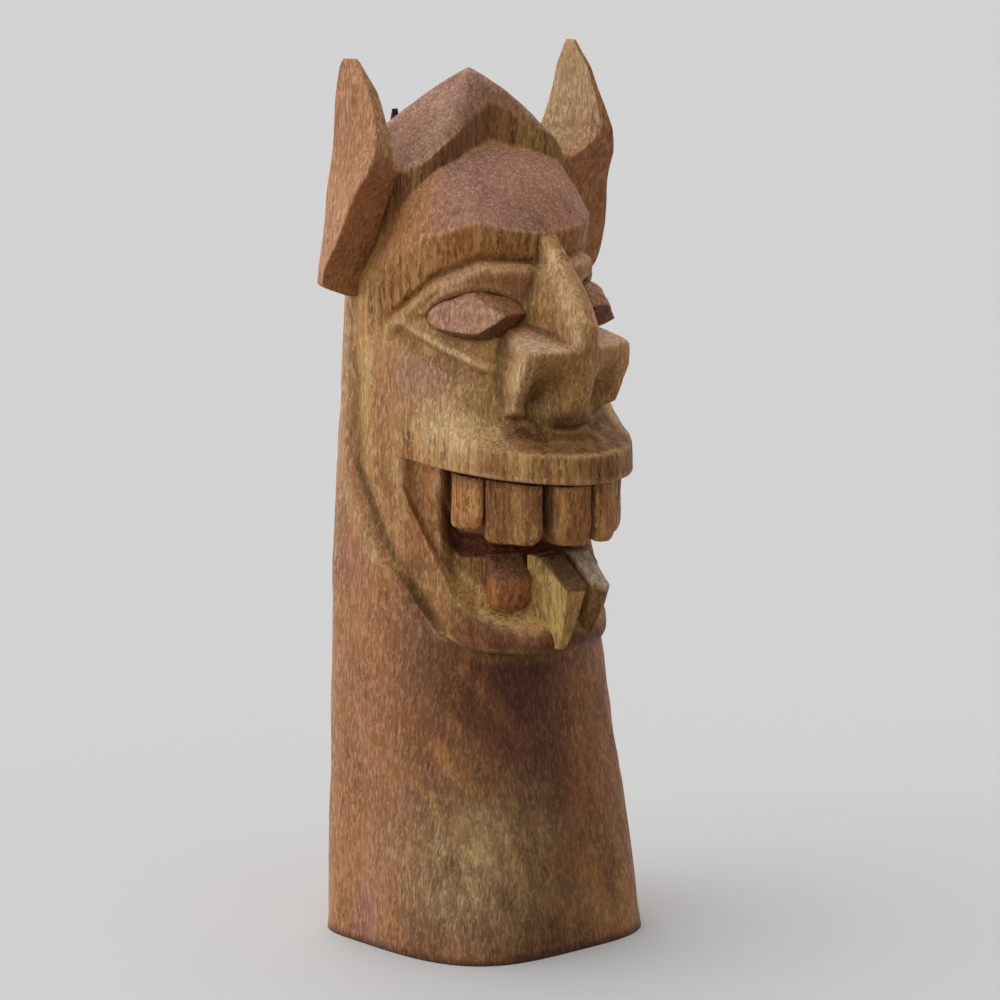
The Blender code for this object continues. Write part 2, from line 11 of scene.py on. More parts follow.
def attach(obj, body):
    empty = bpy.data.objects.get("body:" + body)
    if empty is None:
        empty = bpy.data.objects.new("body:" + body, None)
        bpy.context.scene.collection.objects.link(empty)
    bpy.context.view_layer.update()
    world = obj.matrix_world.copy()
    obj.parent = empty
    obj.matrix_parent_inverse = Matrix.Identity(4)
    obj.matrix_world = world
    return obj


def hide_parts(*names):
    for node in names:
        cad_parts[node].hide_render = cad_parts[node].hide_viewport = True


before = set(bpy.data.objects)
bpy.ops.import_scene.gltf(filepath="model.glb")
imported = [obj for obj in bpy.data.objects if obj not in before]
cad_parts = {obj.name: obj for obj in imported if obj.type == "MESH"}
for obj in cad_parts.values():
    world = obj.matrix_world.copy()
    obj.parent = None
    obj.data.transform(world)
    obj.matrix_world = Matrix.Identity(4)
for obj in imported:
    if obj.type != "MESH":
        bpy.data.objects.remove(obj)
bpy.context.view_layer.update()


# The head block is the neck, head and face, carved with knife and gouge from one billet of light hardwood
# whose grain runs upright. It was stained and waxed, and handling has rubbed the stain unevenly.
# It is drawn as an upright profile, in millimetres, towards every direction round one upright line.
MILLIMETRE = 0.001
COLUMNS = 250
GATHER = 0.5                # how far the columns draw together towards the face
AXIS_BACK = 12.0            # the upright line stands this far behind the middle of the foot
ELLIPSE = 2                 # power of an outline; larger powers are squarer
FOOT_HALF_WIDTH, FOOT_FRONT, FOOT_BACK = 40.2, 39.5, 34.0
FOOT_FRONT_POWER, FOOT_BACK_POWER, THROAT_POWER = 3.6, 3.2, 2.4
FOOT_INSET, FOOT_EDGE, FOOT_EDGE_INSET, FOOT_ROUNDING = 4.6, 1.7, 1.6, 5.5
NECK_MIDDLE, THROAT_FRONT = 43.0, 24.4
HEAD_HALF_WIDTH, HEAD_BACK = 36.0, 29.5
CHIN, CHIN_FRONT, CHIN_POWER = 85.5, 40.0, 2.05
GUM = 111.5
LIP, LIP_FRONT, LIP_BAND, LIP_CURL, LIP_UNDERSIDE = 134.5, 50.0, 8.0, 5.5, 0.6
LIP_EDGE_OUT, LIP_TOP_OUT = 0.9, 0.4
MOUTH_CORNER = 63.0         # degrees round from the front
MUZZLE, MUZZLE_FRONT, MUZZLE_POWER = 153.0, 37.9, 2.2
CHEEK, CHEEK_FRONT, CHEEK_POWER = 165.0, 32.0, 2.3
NOSE_BOTTOM, NOSE_TOP, NOSE_HALF_WIDTH = 147.5, 171.2, 20.8
EYE, EYE_FRONT, EYE_NARROWER = 179.0, 25.8, 0.3
BROW, BROW_FRONT, BROW_POWER, LEFT_BROW_ROUNDER = 201.0, 28.0, 2.4, 0.45
HAIRLINE, HAIR_EDGE, CROWN, CROWN_BACK = 225.0, 236.0, 245.0, 6.7
TEETH_SET_BACK, TOOTH_THICK, FIT = 3.0, 6.2, 0.3

even = (np.arange(COLUMNS) + 0.5) / COLUMNS * 2 * math.pi - math.pi
angles = even - GATHER * np.sin(even)


def mixed(low, high, share):
    """A value between two others, low at share 0 and high at share 1."""
    return low + (high - low) * share


def ramp(value, start, end):
    """0 before start, 1 after end and a smooth rise between."""
    share = np.clip((value - start) / (end - start), 0, 1)
    return share * share * (3 - 2 * share)


def hump(value, centre, width):
    """A bell of height 1."""
    return np.exp(-(((value - centre) / width) ** 2))


def keyed(angle, *pairs):
    """A value that runs through (degrees from the front, value) pairs, alike on both sides."""
    degrees, values = zip(*pairs)
    return np.interp(np.degrees(np.abs(angle)), degrees, values)


def in_face(angle, start, end):
    """1 in front of start degrees and 0 behind end degrees."""
    return 1 - ramp(np.degrees(np.abs(angle)), start, end)


def plan(angle, half_width, front, back, power):
    """Distance from the upright line to a rounded outline, towards angle (0 is the front)."""
    ahead = np.cos(angle)
    reach = np.where(ahead > 0, front + AXIS_BACK, back - AXIS_BACK)
    across = np.abs(np.sin(angle)) / half_width
    return (across**power + (np.abs(ahead) / reach) ** power) ** (-1 / power)


def column(angle, height):
    """The plain billet: wide and squarish at the foot, rounder and slimmer at the head."""
    throat = np.clip(height / CHIN, 0, 1)
    head_share = ramp(height, CHIN, BROW)
    foot_power = np.where(np.cos(angle) > 0, FOOT_FRONT_POWER, FOOT_BACK_POWER)
    half_width = mixed(FOOT_HALF_WIDTH, HEAD_HALF_WIDTH, head_share)
    front = mixed(FOOT_FRONT, THROAT_FRONT, throat)
    back = mixed(FOOT_BACK, HEAD_BACK, head_share)
    return plan(angle, half_width, front, back, mixed(foot_power, THROAT_POWER, throat))


def lip_height(angle):
    """The upper lip's lower edge, which curls up towards the corners of the mouth."""
    return LIP + LIP_CURL * np.clip(np.degrees(np.abs(angle)) / MOUTH_CORNER, 0, 1) ** 1.5


def brow_height(angle):
    """The brow's sharp upper edge, which droops towards the temples."""
    return BROW + keyed(angle, (0, 0), (14, 1), (34, 4), (52, 0), (70, -7), (78, -14), (95, -20))


def crease_height(angle):
    """The cut between the upper lid and the brow."""
    return keyed(angle, (0, 193), (12, 194), (31, 195), (50, 189.5), (66, 180.5), (78, 174), (95, 170))


def tooth_line(angle):
    """Distance of the upper teeth's fronts, a little behind the lip."""
    return plan(angle, HEAD_HALF_WIDTH - TEETH_SET_BACK, LIP_FRONT - TEETH_SET_BACK, HEAD_BACK, ELLIPSE)


def stations(angle):
    """The profile as (height, distance, rows to the next, whether it is a sharp corner)."""

    def carved(height, narrower, front, power, share):
        face = plan(angle, HEAD_HALF_WIDTH - narrower, front, HEAD_BACK, power)
        return height, mixed(column(angle, height), face, share)

    flat = np.zeros_like(angle)
    face = in_face(angle, 96, 112)
    jaw = CHIN + keyed(angle, (0, 0), (20, 0.2), (33, 0.8), (47, 5.3), (57, 13.8), (64, 22), (70, 24.5))
    rim = CHIN + keyed(
        angle, (0, 6), (20, 6), (32, 9), (42, 16), (50, 26), (60, 40), (MOUTH_CORNER, 46), (90, 50)
    )
    mouth = in_face(angle, 52, 66)
    chin_front = mixed(LIP_FRONT, CHIN_FRONT, mouth)
    chin_power = mixed(ELLIPSE, CHIN_POWER, mouth)
    rim_height, rim_reach = carved(rim, 3.0 * mouth, chin_front - 1.2 * mouth, chin_power, face)

    lip = lip_height(angle)
    opening = in_face(angle, MOUTH_CORNER - 5, MOUTH_CORNER + 2)
    slot = in_face(angle, 41, 48)
    wall = tooth_line(angle) - mixed(1.0, TOOTH_THICK + FIT, in_face(angle, 43.5, 47))
    step = (lip - LIP_UNDERSIDE - rim) / 6
    gum = np.maximum(GUM, rim + 2 * step)

    lip_reach = plan(angle, HEAD_HALF_WIDTH, LIP_FRONT, HEAD_BACK, ELLIPSE)
    side_wall = np.minimum(wall, rim_reach - 2.2)
    ledge = mixed(side_wall, rim_reach - 7.2, slot)
    ledge_height = mixed(rim + step, np.minimum(rim + 7.5, gum - step / 3), slot)

    def inside(height, reach):
        cheek = mixed(rim_reach, mixed(column(angle, height), lip_reach, face), (height - rim) / (lip - rim))
        return height, mixed(cheek, reach, opening)

    def gum_level(rise, steps):
        return mixed(rim + steps * step, gum + rise, slot)

    under_nose = in_face(angle, 18, 46)
    muzzle = MUZZLE - 4.5 * under_nose
    muzzle_front = MUZZLE_FRONT - 1.6 * under_nose
    brow = brow_height(angle)
    crease = crease_height(angle)
    lid = in_face(angle, 56, 70)
    hairline = HAIRLINE - keyed(
        angle, (0, 0), (30, 2), (50, 6), (66, 14), (78, 23.5), (92, 30), (120, 24), (180, 24)
    )
    edge = HAIR_EDGE - keyed(
        angle, (0, 0), (30, 4.5), (48, 11), (57, 15.5), (68, 18), (82, 18), (98, 17), (115, 15.5), (180, 14)
    )
    stop_cut = keyed(angle, (0, 14.2), (25, 17.5), (50, 28.5), (62, 31.5), (75, 31), (92, 30.5))
    stop_cut = mixed(column(angle, hairline), stop_cut, in_face(angle, 92, 112))
    turned_left = np.degrees(angle)
    left_brow = ramp(turned_left, 12, 34) * (1 - ramp(turned_left, 66, 86))
    brow_power = BROW_POWER - LEFT_BROW_ROUNDER * left_brow
    brow_reach = carved(brow, 0, BROW_FRONT, brow_power, face)[1]
    sharp, soft = True, False
    return [
        (flat, column(angle, flat) - FOOT_INSET, 3, sharp),
        (flat + FOOT_EDGE, column(angle, flat) - FOOT_EDGE_INSET, 3, soft),
        (flat + FOOT_ROUNDING, column(angle, flat + FOOT_ROUNDING), 26, sharp),
        (flat + NECK_MIDDLE, column(angle, flat + NECK_MIDDLE), 26, soft),
        (jaw - 1.1, column(angle, jaw), 4, sharp),
        (*carved(jaw, 3.8 * mouth, chin_front - 2.4 * mouth, ELLIPSE, face), 8, sharp),
        (*carved(mixed(jaw, rim, 0.6), 3.2 * mouth, chin_front - 0.6 * mouth, chin_power, face), 5, soft),
        (rim_height, rim_reach, 10, sharp),
        (*inside(ledge_height, ledge), 20, soft),
        (*inside(gum_level(0, 2), mixed(side_wall, rim_reach - 8.8, slot)), 8, sharp),
        (*inside(gum_level(2, 3), mixed(side_wall, rim_reach - 14, slot)), 5, sharp),
        (*inside(gum_level(5, 4), wall - 8.4 * slot), 6, sharp),
        (*inside(gum_level(8, 5), wall), 20, sharp),
        (*inside(lip - LIP_UNDERSIDE, wall), 8, sharp),
        (*carved(lip, 0, LIP_FRONT + LIP_EDGE_OUT, ELLIPSE, face), 14, sharp),
        (*carved(lip + LIP_BAND, 0, LIP_FRONT + LIP_TOP_OUT, ELLIPSE, face), 20, sharp),
        (*carved(muzzle, 0, muzzle_front, MUZZLE_POWER, face), 22, soft),
        (*carved(flat + CHEEK, 0, CHEEK_FRONT, CHEEK_POWER, face), 26, soft),
        (*carved(np.minimum(EYE, crease - 3), EYE_NARROWER, EYE_FRONT, brow_power, face), 26, soft),
        (*carved(crease - 1.4, 0, BROW_FRONT, brow_power, face), 3, sharp),
        (*carved(crease, lid, BROW_FRONT - 1.4 * lid, brow_power, face), 18, sharp),
        (brow, brow_reach, 26, sharp),
        (mixed(brow, hairline, 0.55), mixed(brow_reach, stop_cut, 0.40), 26, soft),
        (hairline, stop_cut, 20, sharp),
        (edge, stop_cut, 0, sharp),
    ]


# Places in that list, which bound the bands of colour
JAW_ROW, RIM_ROW, LEDGE_ROW, GUM_ROW, SLOT_ROW, LIP_ROW, LIP_TOP_ROW = 5, 7, 8, 9, 12, 14, 15
EYE_ROW, CREASE_ROW, BROW_ROW, HAIRLINE_ROW, HAIR_EDGE_ROW = 18, 20, 21, 23, 24


def drawn(points):
    """Heights and distances of every row, rounded through the soft stations, straight to the sharp ones."""
    spots = np.array([point[:2] for point in points])
    chords = np.diff(spots, axis=0)
    lengths = np.maximum(np.hypot(chords[:, 0], chords[:, 1]), 0.05)[:, None]
    slopes = chords / lengths
    rows = []
    for index, (chord, length) in enumerate(zip(chords, lengths)):
        ends = []
        for knot in (index, index + 1):
            if points[knot][3]:
                ends.append(chord)
            else:
                before, after = lengths[knot - 1], lengths[knot]
                ends.append(length * (slopes[knot - 1] * after + slopes[knot] * before) / (before + after))
        count = points[index][2]
        for t in np.arange(count) / count:
            rows.append(
                spots[index] * (2 * t**3 - 3 * t**2 + 1) + ends[0] * (t**3 - 2 * t**2 + t)
                + spots[index + 1] * (3 * t**2 - 2 * t**3) + ends[1] * (t**3 - t**2)
            )
    rows.append(spots[-1])
    return np.array(rows)[:, 0], np.array(rows)[:, 1]


profile = stations(angles)
heights, reaches = drawn(profile)
turn = np.broadcast_to(angles, heights.shape)
turned = np.degrees(np.abs(turn))

# The face ends at a seam that climbs from under the chin to the ear, and the neck stands proud behind it
NECK_ROWS = 62
SEAM = (86, 91, 99, 107, 118, 125, 136, 156, 186), (33, 47.5, 57, 63, 74.5, 81, 89.5, 92, 93)
seam = np.interp(heights, *SEAM)
behind_seam = ramp(turned, seam - 0.5, seam + 6)
behind_seam[:NECK_ROWS] = 1
reaches = mixed(reaches, column(turn, heights), behind_seam * (1 - ramp(heights, 186, 200)))


def blended(one, other, width):
    """The larger of two distances, with the corner between them softened."""
    share = np.clip(0.5 + 0.5 * (other - one) / width, 0, 1)
    return mixed(one, other, share) + width * share * (1 - share) / 2


def nose_reach(angle, height):
    """A narrow flat-topped ridge that widens into two blunt nostrils, each hollowed in front."""
    top_slope, side_slope, wing_slope = 0.35, 3.6, 0.28
    hollow_depth, corner_wear, cut_away = 6.6, 0.6, 40
    wing_edge, wing_fall = 2.5, 2.9     # how sharp the nostrils' top edge is and how fast it falls back
    half_angle = 0.75
    ridge = np.interp(
        height,
        (NOSE_BOTTOM - 2, NOSE_BOTTOM, 158, 166, NOSE_TOP, 177, 182, 187, 193, 199, BROW + 2),
        (35, 38.5, 42.5, 45, 45.7, 45.6, 43.2, 39.6, 35, 30, 27.4),
    ) + AXIS_BACK
    across = np.abs(np.sin(angle))
    ahead = np.cos(angle)
    strip = np.interp(height, (NOSE_TOP, 178, 190, BROW), (3.8, 3.6, 3.0, 2.2))
    bridge = np.minimum(
        ridge / (ahead + top_slope * across),
        (ridge + (side_slope - top_slope) * strip) / (ahead + side_slope * across),
    )
    wings = ridge / (ahead + wing_slope * across)
    side = wings * across
    hollow = hump(side, 11.0, 5.6) * hump(height, 157.0, 7.2)
    width = NOSE_HALF_WIDTH + 1.2 * hump(height, 163, 5)
    bottom = NOSE_BOTTOM + 4.5 * ramp(side, 8, 19)
    away = np.maximum(ramp(side, width - 1.2, width + 2.4), ramp(bottom - height, -1.5, 2.5))
    wings = wings - hollow_depth * hollow - corner_wear * ramp(side, width - 5, width) ** 2 - cut_away * away
    wings = wings - np.log1p(np.exp((height - NOSE_TOP) * wing_edge)) / wing_edge * wing_fall
    past_ends = np.maximum(ramp(NOSE_BOTTOM - height, -1.5, 2.5), ramp(height, BROW - 1, BROW + 4))
    bridge = bridge - cut_away * past_ends
    return np.where(np.abs(angle) < half_angle, np.maximum(bridge, wings), 0)


face = reaches.copy()

# Lids: a fold under the eye that drops to the cheek, and a fine raised line over the eye
FOLD = (10, 161.5), (20, 163), (31, 165.2), (48, 171), (66, 177), (75, 180)
by_eye = in_face(turn, 58, 70) * (0.25 + 0.75 * ramp(turned, 22, 32))
off_fold = heights - keyed(turn, *FOLD)
reaches += by_eye * (1.5 * hump(off_fold, 1.0, 2.0) - 1.7 * hump(off_fold, -2.4, 3.0))
reaches = blended(reaches, nose_reach(turn, heights), 0.8)
crease = crease_height(turn)
near_crease = in_face(turn, 66, 76) * ramp(turned, 3, 8)
reaches += near_crease * (1.2 * hump(heights, crease - 3.8, 2.4) - 1.7 * hump(heights, crease - 0.2, 1.2))

# Sockets: almond-shaped, with a fine line round the upper half
EYE_TURN, EYE_HALF_TURN, EYE_UP, EYE_DOWN, ALMOND = 31.5, 21.0, 7.4, 6.4, 1.7
EYE_END = EYE_TURN + EYE_HALF_TURN
across_eye = np.clip((turned - EYE_TURN) / EYE_HALF_TURN, -1, 1)
half_open = (1 - np.abs(across_eye) ** ALMOND) ** (1 / ALMOND)
off_eye = np.where(heights > EYE, heights - EYE - EYE_UP * half_open, EYE - EYE_DOWN * half_open - heights)
near_eye = in_face(turn, EYE_END, EYE_END + 5) * ramp(turned, 10, 14)
reaches += near_eye * (0.9 * hump(off_eye, 1.2, 0.9) * (heights > EYE) - 2.2 * ramp(-off_eye, 0.1, 1.2))

# The groove that parts the face from the neck, from the ear's foot round to the chin
SEAM_DEPTH, SEAM_SPREAD = 1.2, 0.62     # millimetres, and millimetres round the head for each degree
in_seam = ramp(heights, 90, 96) * (1 - ramp(heights, 183, 190))
off_seam = (turned - seam) * SEAM_SPREAD
reaches -= in_seam * SEAM_DEPTH * hump(off_seam, 0.5, 1.8)

# Crown: rings that climb from the hair's edge to the top
CROWN_ROWS, CROWN_CLOSED, CROWN_DOME, CROWN_PASSES = 40, 0.985, 8, 30
x = reaches * np.sin(turn)
y = AXIS_BACK - reaches * np.cos(turn)
points = np.stack([x, y, heights], axis=2)
climb = (np.arange(1, CROWN_ROWS + 1) / CROWN_ROWS)[:, None, None] * CROWN_CLOSED
top = np.array([0, CROWN_BACK, CROWN])
crown = points[-1] * (1 - climb) + top * climb
crown[:, :, 2] += CROWN_DOME * (climb * (1 - climb))[:, :, 0]
for again in range(CROWN_PASSES):
    rounded = (np.roll(crown, 1, axis=1) + np.roll(crown, -1, axis=1)) / 2
    crown = mixed(crown, rounded, 0.6 * climb)
points = np.concatenate([points, crown])


def softened(rings, kept):
    """Each point drawn towards those above and below it, then, but for the share kept, to those beside it."""
    drawn_in = rings.copy()
    drawn_in[1:-1] = 0.5 * rings[1:-1] + 0.25 * (rings[:-2] + rings[2:])
    beside = np.roll(drawn_in, 1, axis=1) + np.roll(drawn_in, -1, axis=1)
    return kept * drawn_in + (1 - kept) / 2 * beside


def noise_at(spots, scale, seed):
    """Smooth noise, about -1 to 1, at points in millimetres; scale is millimetres per wave along x, y, z."""
    seed_step = 17.3
    waves = spots / np.array(scale) + seed * seed_step
    return np.array([noise.noise(Vector(spot)) for spot in waves])


# Tool marks and wear: soften every edge, then the slight unevenness of hand work
UNEVENNESS = (
    # depth, waves and seed
    (0.5, (14, 14, 22), 1),
    (0.3, (4.5, 4.5, 9), 2),
    (0.12, (1.8, 1.8, 5), 10),
)
points = softened(points, 0.6)
points[0, :, 2] = 0
flat_points = points.reshape(-1, 3)
outward = flat_points * np.array([1, 1, 0]) - np.array([0, AXIS_BACK, 0])
outward /= np.maximum(np.linalg.norm(outward, axis=1, keepdims=True), 1e-6)
uneven = sum(depth * noise_at(flat_points, waves, seed) for depth, waves, seed in UNEVENNESS)
uneven *= ramp(flat_points[:, 2], 0, 6)
flat_points = flat_points + outward * uneven[:, None]


def linked(name, bm):
    """A new object of a finished bmesh, which is freed."""
    mesh = bpy.data.meshes.new(name)
    bm.to_mesh(mesh)
    bm.free()
    item = bpy.data.objects.new(name, mesh)
    bpy.context.collection.objects.link(item)
    return item


def smoothed(mesh):
    """Shade a mesh as one rounded surface."""
    for polygon in mesh.polygons:
        polygon.use_smooth = True


def tube(name, spots, round_count):
    """A closed tube of rings, made from a cylinder whose rows are moved to the spots, in millimetres."""
    count = len(spots) // round_count
    bm = bmesh.new()
    bmesh.ops.create_cone(
        bm, cap_ends=True, segments=round_count, radius1=1, radius2=1, depth=count - 1,
        matrix=Matrix.Translation((0, 0, (count - 1) / 2)),
    )
    uprights = [edge for edge in bm.edges if abs(edge.verts[0].co.z - edge.verts[1].co.z) > 0.5]
    bmesh.ops.subdivide_edges(bm, edges=uprights, cuts=count - 2)
    places = []
    for vert in bm.verts:
        way = math.atan2(vert.co.x, -vert.co.y) + math.pi
        # The quarter step keeps rounding from moving a vertex to the column beside it
        step = math.floor(way / (2 * math.pi) * round_count + 0.25) % round_count
        places.append(round(vert.co.z) * round_count + step)
        vert.co = spots[places[-1]] * MILLIMETRE
    bm.normal_update()
    bmesh.ops.recalc_face_normals(bm, faces=bm.faces)
    item = linked(name, bm)
    smoothed(item.data)
    return item, places


head, head_places = tube("carved_head", flat_points, COLUMNS)


def linear(red, green, blue):
    """Linear colour of a tone as the eye sees it, 0 to 255."""
    return np.array([((value / 255 + 0.055) / 1.055) ** 2.4 for value in (red, green, blue)])


def facing(item):
    """The direction the surface faces at each vertex."""
    normals = np.empty(len(item.data.vertices) * 3, dtype=np.float32)
    item.data.vertex_normals.foreach_get("vector", normals)
    return normals.reshape(-1, 3)


# Painted shade: faces turned forward and down are darkened towards FRONT_SHADE; the weights below say how
# much facing right, left, back and up keeps the full colour.
FRONT_SHADE = np.array([0.60, 0.52, 0.40])
RIGHT_LIGHT, LEFT_LIGHT, BACK_LIGHT, TOP_LIGHT = 0.72, 0.4, 0.3, 0.62


def paint(item, tones, streak):
    """Store at each vertex its colour, how streaky its grain is and how far end grain shows.

    Painted shade darkens what faces forward and down, as if unlit; the sides, the back and the top keep their
    colour.
    """
    across, back, up = facing(item).T
    brightened = np.where(across < 0, -RIGHT_LIGHT * across, LEFT_LIGHT * across) + BACK_LIGHT * back + TOP_LIGHT * up
    tones = tones * mixed(FRONT_SHADE, 1.0, ramp(brightened, -0.25, 0.5)[:, None])
    layer = item.data.color_attributes.new("tone", 'FLOAT_COLOR', 'POINT')
    streak = np.broadcast_to(streak, len(tones))
    layer.data.foreach_set("color", np.c_[tones, streak].astype(np.float32).ravel())
    ends = item.data.attributes.new("end_grain", 'FLOAT', 'POINT')
    ends.data.foreach_set("value", ramp(np.abs(up), 0.35, 0.8).astype(np.float32))


ORANGE = linear(170, 117, 78)       # rubbed stain
PURPLE = linear(164, 118, 102)      # stain left thick on end grain
PINK = linear(198, 158, 138)        # the same, rubbed thin
OLIVE = linear(204, 160, 98)        # bare wood in the knife cuts
BROWN = linear(150, 100, 56)        # worn stain on upright grain; darker shares of it also serve as painted shade
AMBER = linear(164, 112, 62)        # knife strokes through the stain
TAN = linear(176, 132, 84)          # stain worn thin by the foot
GREYED = linear(190, 158, 112)      # bare wood gone grey
RED = linear(118, 68, 42)           # stain on the neck's front
PLUM = linear(94, 52, 40)           # stain gone dark
PALE = linear(222, 186, 138)        # wood rubbed bare; also laid as painted highlights
PAINTED_SHADE = linear(70, 45, 26)           # painted shade in hollows, grooves and under overhangs


def toned(tones, tone, share):
    """Colours drawn towards one tone, each by its own share."""
    return tones + (tone - tones) * np.clip(share, 0, 1)[:, None]


left, back, high = flat_points.T
way = np.arctan2(left, AXIS_BACK - back)
degrees = np.degrees(way)
off_front = np.abs(degrees)
off_middle = np.abs(left)
row_levels = [number + np.arange(point[2]) / max(1, point[2]) for number, point in enumerate(profile)]
crown_levels = HAIR_EDGE_ROW + np.arange(CROWN_ROWS + 1) / CROWN_ROWS
level = np.repeat(np.concatenate([*row_levels, crown_levels]), COLUMNS)


def between(first, last, soft=0.15):
    """1 on the rows between two stations of the profile."""
    return ramp(level, first - soft, first + soft) * (1 - ramp(level, last - soft, last + soft))


blotch = noise_at(flat_points, (26, 26, 34), 3)
mottle = noise_at(flat_points, (12, 12, 26), 11)
fleck = noise_at(flat_points, (7, 7, 16), 4)
speck = noise_at(flat_points, (3, 3, 8), 8)
stroke = noise_at(np.stack([degrees * 0.55 + high * 0.62, degrees * 0.1, high * 0.1], axis=1), (5, 30, 40), 9)
HOLLOW_PASSES = 14
smooth = points
for again in range(HOLLOW_PASSES):
    smooth = softened(smooth, 0.5)
hollow = ((smooth - points).reshape(-1, 3) * outward).sum(axis=1)

into_face = np.interp(high, *SEAM) * ramp(high, 85, 86) - off_front
on_face = ramp(into_face, -3, 2) * ramp(level, JAW_ROW - 0.4, JAW_ROW)
on_neck = 1 - on_face
neck_front = on_neck * in_face(way, 44, 76) * (1 - ramp(high, 96, 104))
chin = on_face * between(JAW_ROW, RIM_ROW)
in_mouth = on_face * in_face(way, 61, 66)
gum_shelf = on_face * between(RIM_ROW + 0.3, LEDGE_ROW + 0.4)
mouth_side = in_mouth * between(RIM_ROW + 0.2, LIP_ROW - 1)
lip_band = in_mouth * between(LIP_ROW, LIP_TOP_ROW)
over_lip = on_face * between(LIP_TOP_ROW, LIP_TOP_ROW + 1.3)
upper_lid = on_face * between(EYE_ROW + 0.3, CREASE_ROW)
wing = hump(off_middle, 21.8, 1.9) * hump(high, 159, 10) * ramp(-back, 26, 31)
wing_top = hump(high, 173, 3) * hump(off_middle, 13, 8) * ramp(-back, 28, 32)
nostril = hump(off_middle, 11.5, 6.5) * hump(high, 157, 8.5) * ramp(-back, 30, 34)
on_ridge = ramp(high, 170, 174) * (1 - ramp(high, 198, 204)) * ramp(-back, 27, 29)
over_fold = high - keyed(way, *FOLD)
by_fold = on_face * in_face(way, 60, 70) * ramp(off_front, 24, 32)
brow_band = on_face * between(CREASE_ROW, BROW_ROW)
forehead = between(BROW_ROW, HAIRLINE_ROW)
ahead_of_ears = in_face(way, 84, 104)
stop_cut_wall = ahead_of_ears * between(HAIRLINE_ROW, HAIR_EDGE_ROW)
on_crown = ramp(level, HAIR_EDGE_ROW - 0.1, HAIR_EDGE_ROW + 0.1)

# Neck: red and plum stain in front with paler knife strokes across it, bare and greyer towards the foot, and
# painted shade along the foot's bottom edge
greyed_share = (0.72 + 0.4 * fleck + 0.5 * speck) * (1 - 0.6 * ramp(degrees, -12, 14))
plum_share = ramp(high, 20, 36) * ramp(degrees, -40, -12) * (0.6 + 0.7 * blotch + 0.4 * fleck)
neck_stains_and_shade = (
    (PURPLE * 0.9, on_neck * (0.15 + 0.6 * mottle)),
    (RED * 0.68, neck_front * (0.9 + 0.4 * blotch)),
    (PLUM * 1.25, neck_front * plum_share),
    (ORANGE * 1.05, neck_front * ramp(degrees, -4, 22) * (0.7 + 0.5 * fleck)),
    (PALE * 0.8, on_neck * hump(high, 168, 14) * hump(off_front, 97, 9) * 0.35),
    (AMBER, on_neck * hump(degrees, -40, 20) * hump(high, 56, 26) * (1.5 * stroke + 0.4 * speck)),
    (GREYED, on_neck * hump(degrees, -30, 30) * hump(high, 26, 20) * greyed_share),
    (TAN, on_neck * ramp(degrees, -20, 10) * hump(high, 14, 20) * (0.6 + 0.6 * fleck)),
    (ORANGE * 0.85, on_neck * (1 - ramp(high, 3, 10)) * hump(degrees, -42, 16) * (0.6 + 0.6 * fleck)),
    # Painted shade along the foot's bottom edge
    (PAINTED_SHADE, on_neck * (1 - ramp(high, 0.5, 3.0)) * 0.75),
)

# Face: bare olive in the cuts, then the chin and the mouth, brown on the upright bands of lip and jaw,
# darkened on the chin's front as painted shade
mouth_stains_and_shade = (
    (OLIVE, on_face * between(JAW_ROW, HAIRLINE_ROW) * (0.62 + 0.5 * blotch)),
    (ORANGE, chin * (0.8 + 0.5 * fleck)),
    # Brown stain on the chin's front, darkened further as painted shade
    (BROWN * 0.52, chin * in_face(way, 34, 50) * (0.9 + 0.5 * speck)),
    (OLIVE * 0.9, gum_shelf * in_face(way, 44, 54) * (0.7 + 0.6 * speck)),
    (BROWN * 1.15, mouth_side * ramp(off_front, 42, 50) * (0.95 + 0.4 * speck)),
    (RED * 1.2, in_mouth * between(RIM_ROW + 0.2, SLOT_ROW) * hump(off_front, 57, 5) * (0.4 + 0.9 * fleck)),
    (BROWN * 0.9, on_face * between(LEDGE_ROW + 0.3, GUM_ROW) * in_face(way, 44, 54) * 0.8),
    (BROWN * 0.85, lip_band * in_face(way, 30, 50) * (0.75 + 0.6 * fleck)),
    (BROWN * 1.2, lip_band * ramp(off_front, 30, 50) * (0.6 + 0.6 * fleck)),
    (BROWN * 0.55, over_lip * in_face(way, 20, 42) * (0.85 + 0.5 * speck)),
)

# Cheeks, lids and the seam: pale where rubbed, purple where the end grain looks up, a painted highlight along
# the face's edge at the seam and painted shade in the groove
seam_shade = ramp(high, 92, 100) * (1 - ramp(high, 158, 170)) * (0.55 + 0.4 * fleck)
cheek_stains_and_light = (
    (PALE * 1.15, on_face * hump(high, 150, 9) * hump(off_front, 44, 12) * (0.65 + 0.6 * speck)),
    (PURPLE, on_face * hump(high, 164, 9) * hump(off_front, 54, 19) * (0.75 + 0.6 * fleck)),
    (PURPLE * 1.4, upper_lid * in_face(way, 52, 66) * (0.38 + 0.6 * fleck)),
    (OLIVE * 0.95, on_face * hump(into_face, 6, 5) * ramp(high, 115, 165) * (0.7 + 0.5 * speck)),
    # Painted highlight along the face's edge beside the seam
    (PALE, on_face * hump(into_face, 10, 1.6) * ramp(high, 125, 150) * (0.4 + 0.6 * fleck)),
    (BROWN, on_face * hump(into_face, 14, 4) * hump(high, 134, 12) * 0.6),
    # Painted shade in the seam's groove
    (PAINTED_SHADE, hump(into_face, 0.8, 2.8) * seam_shade),
)
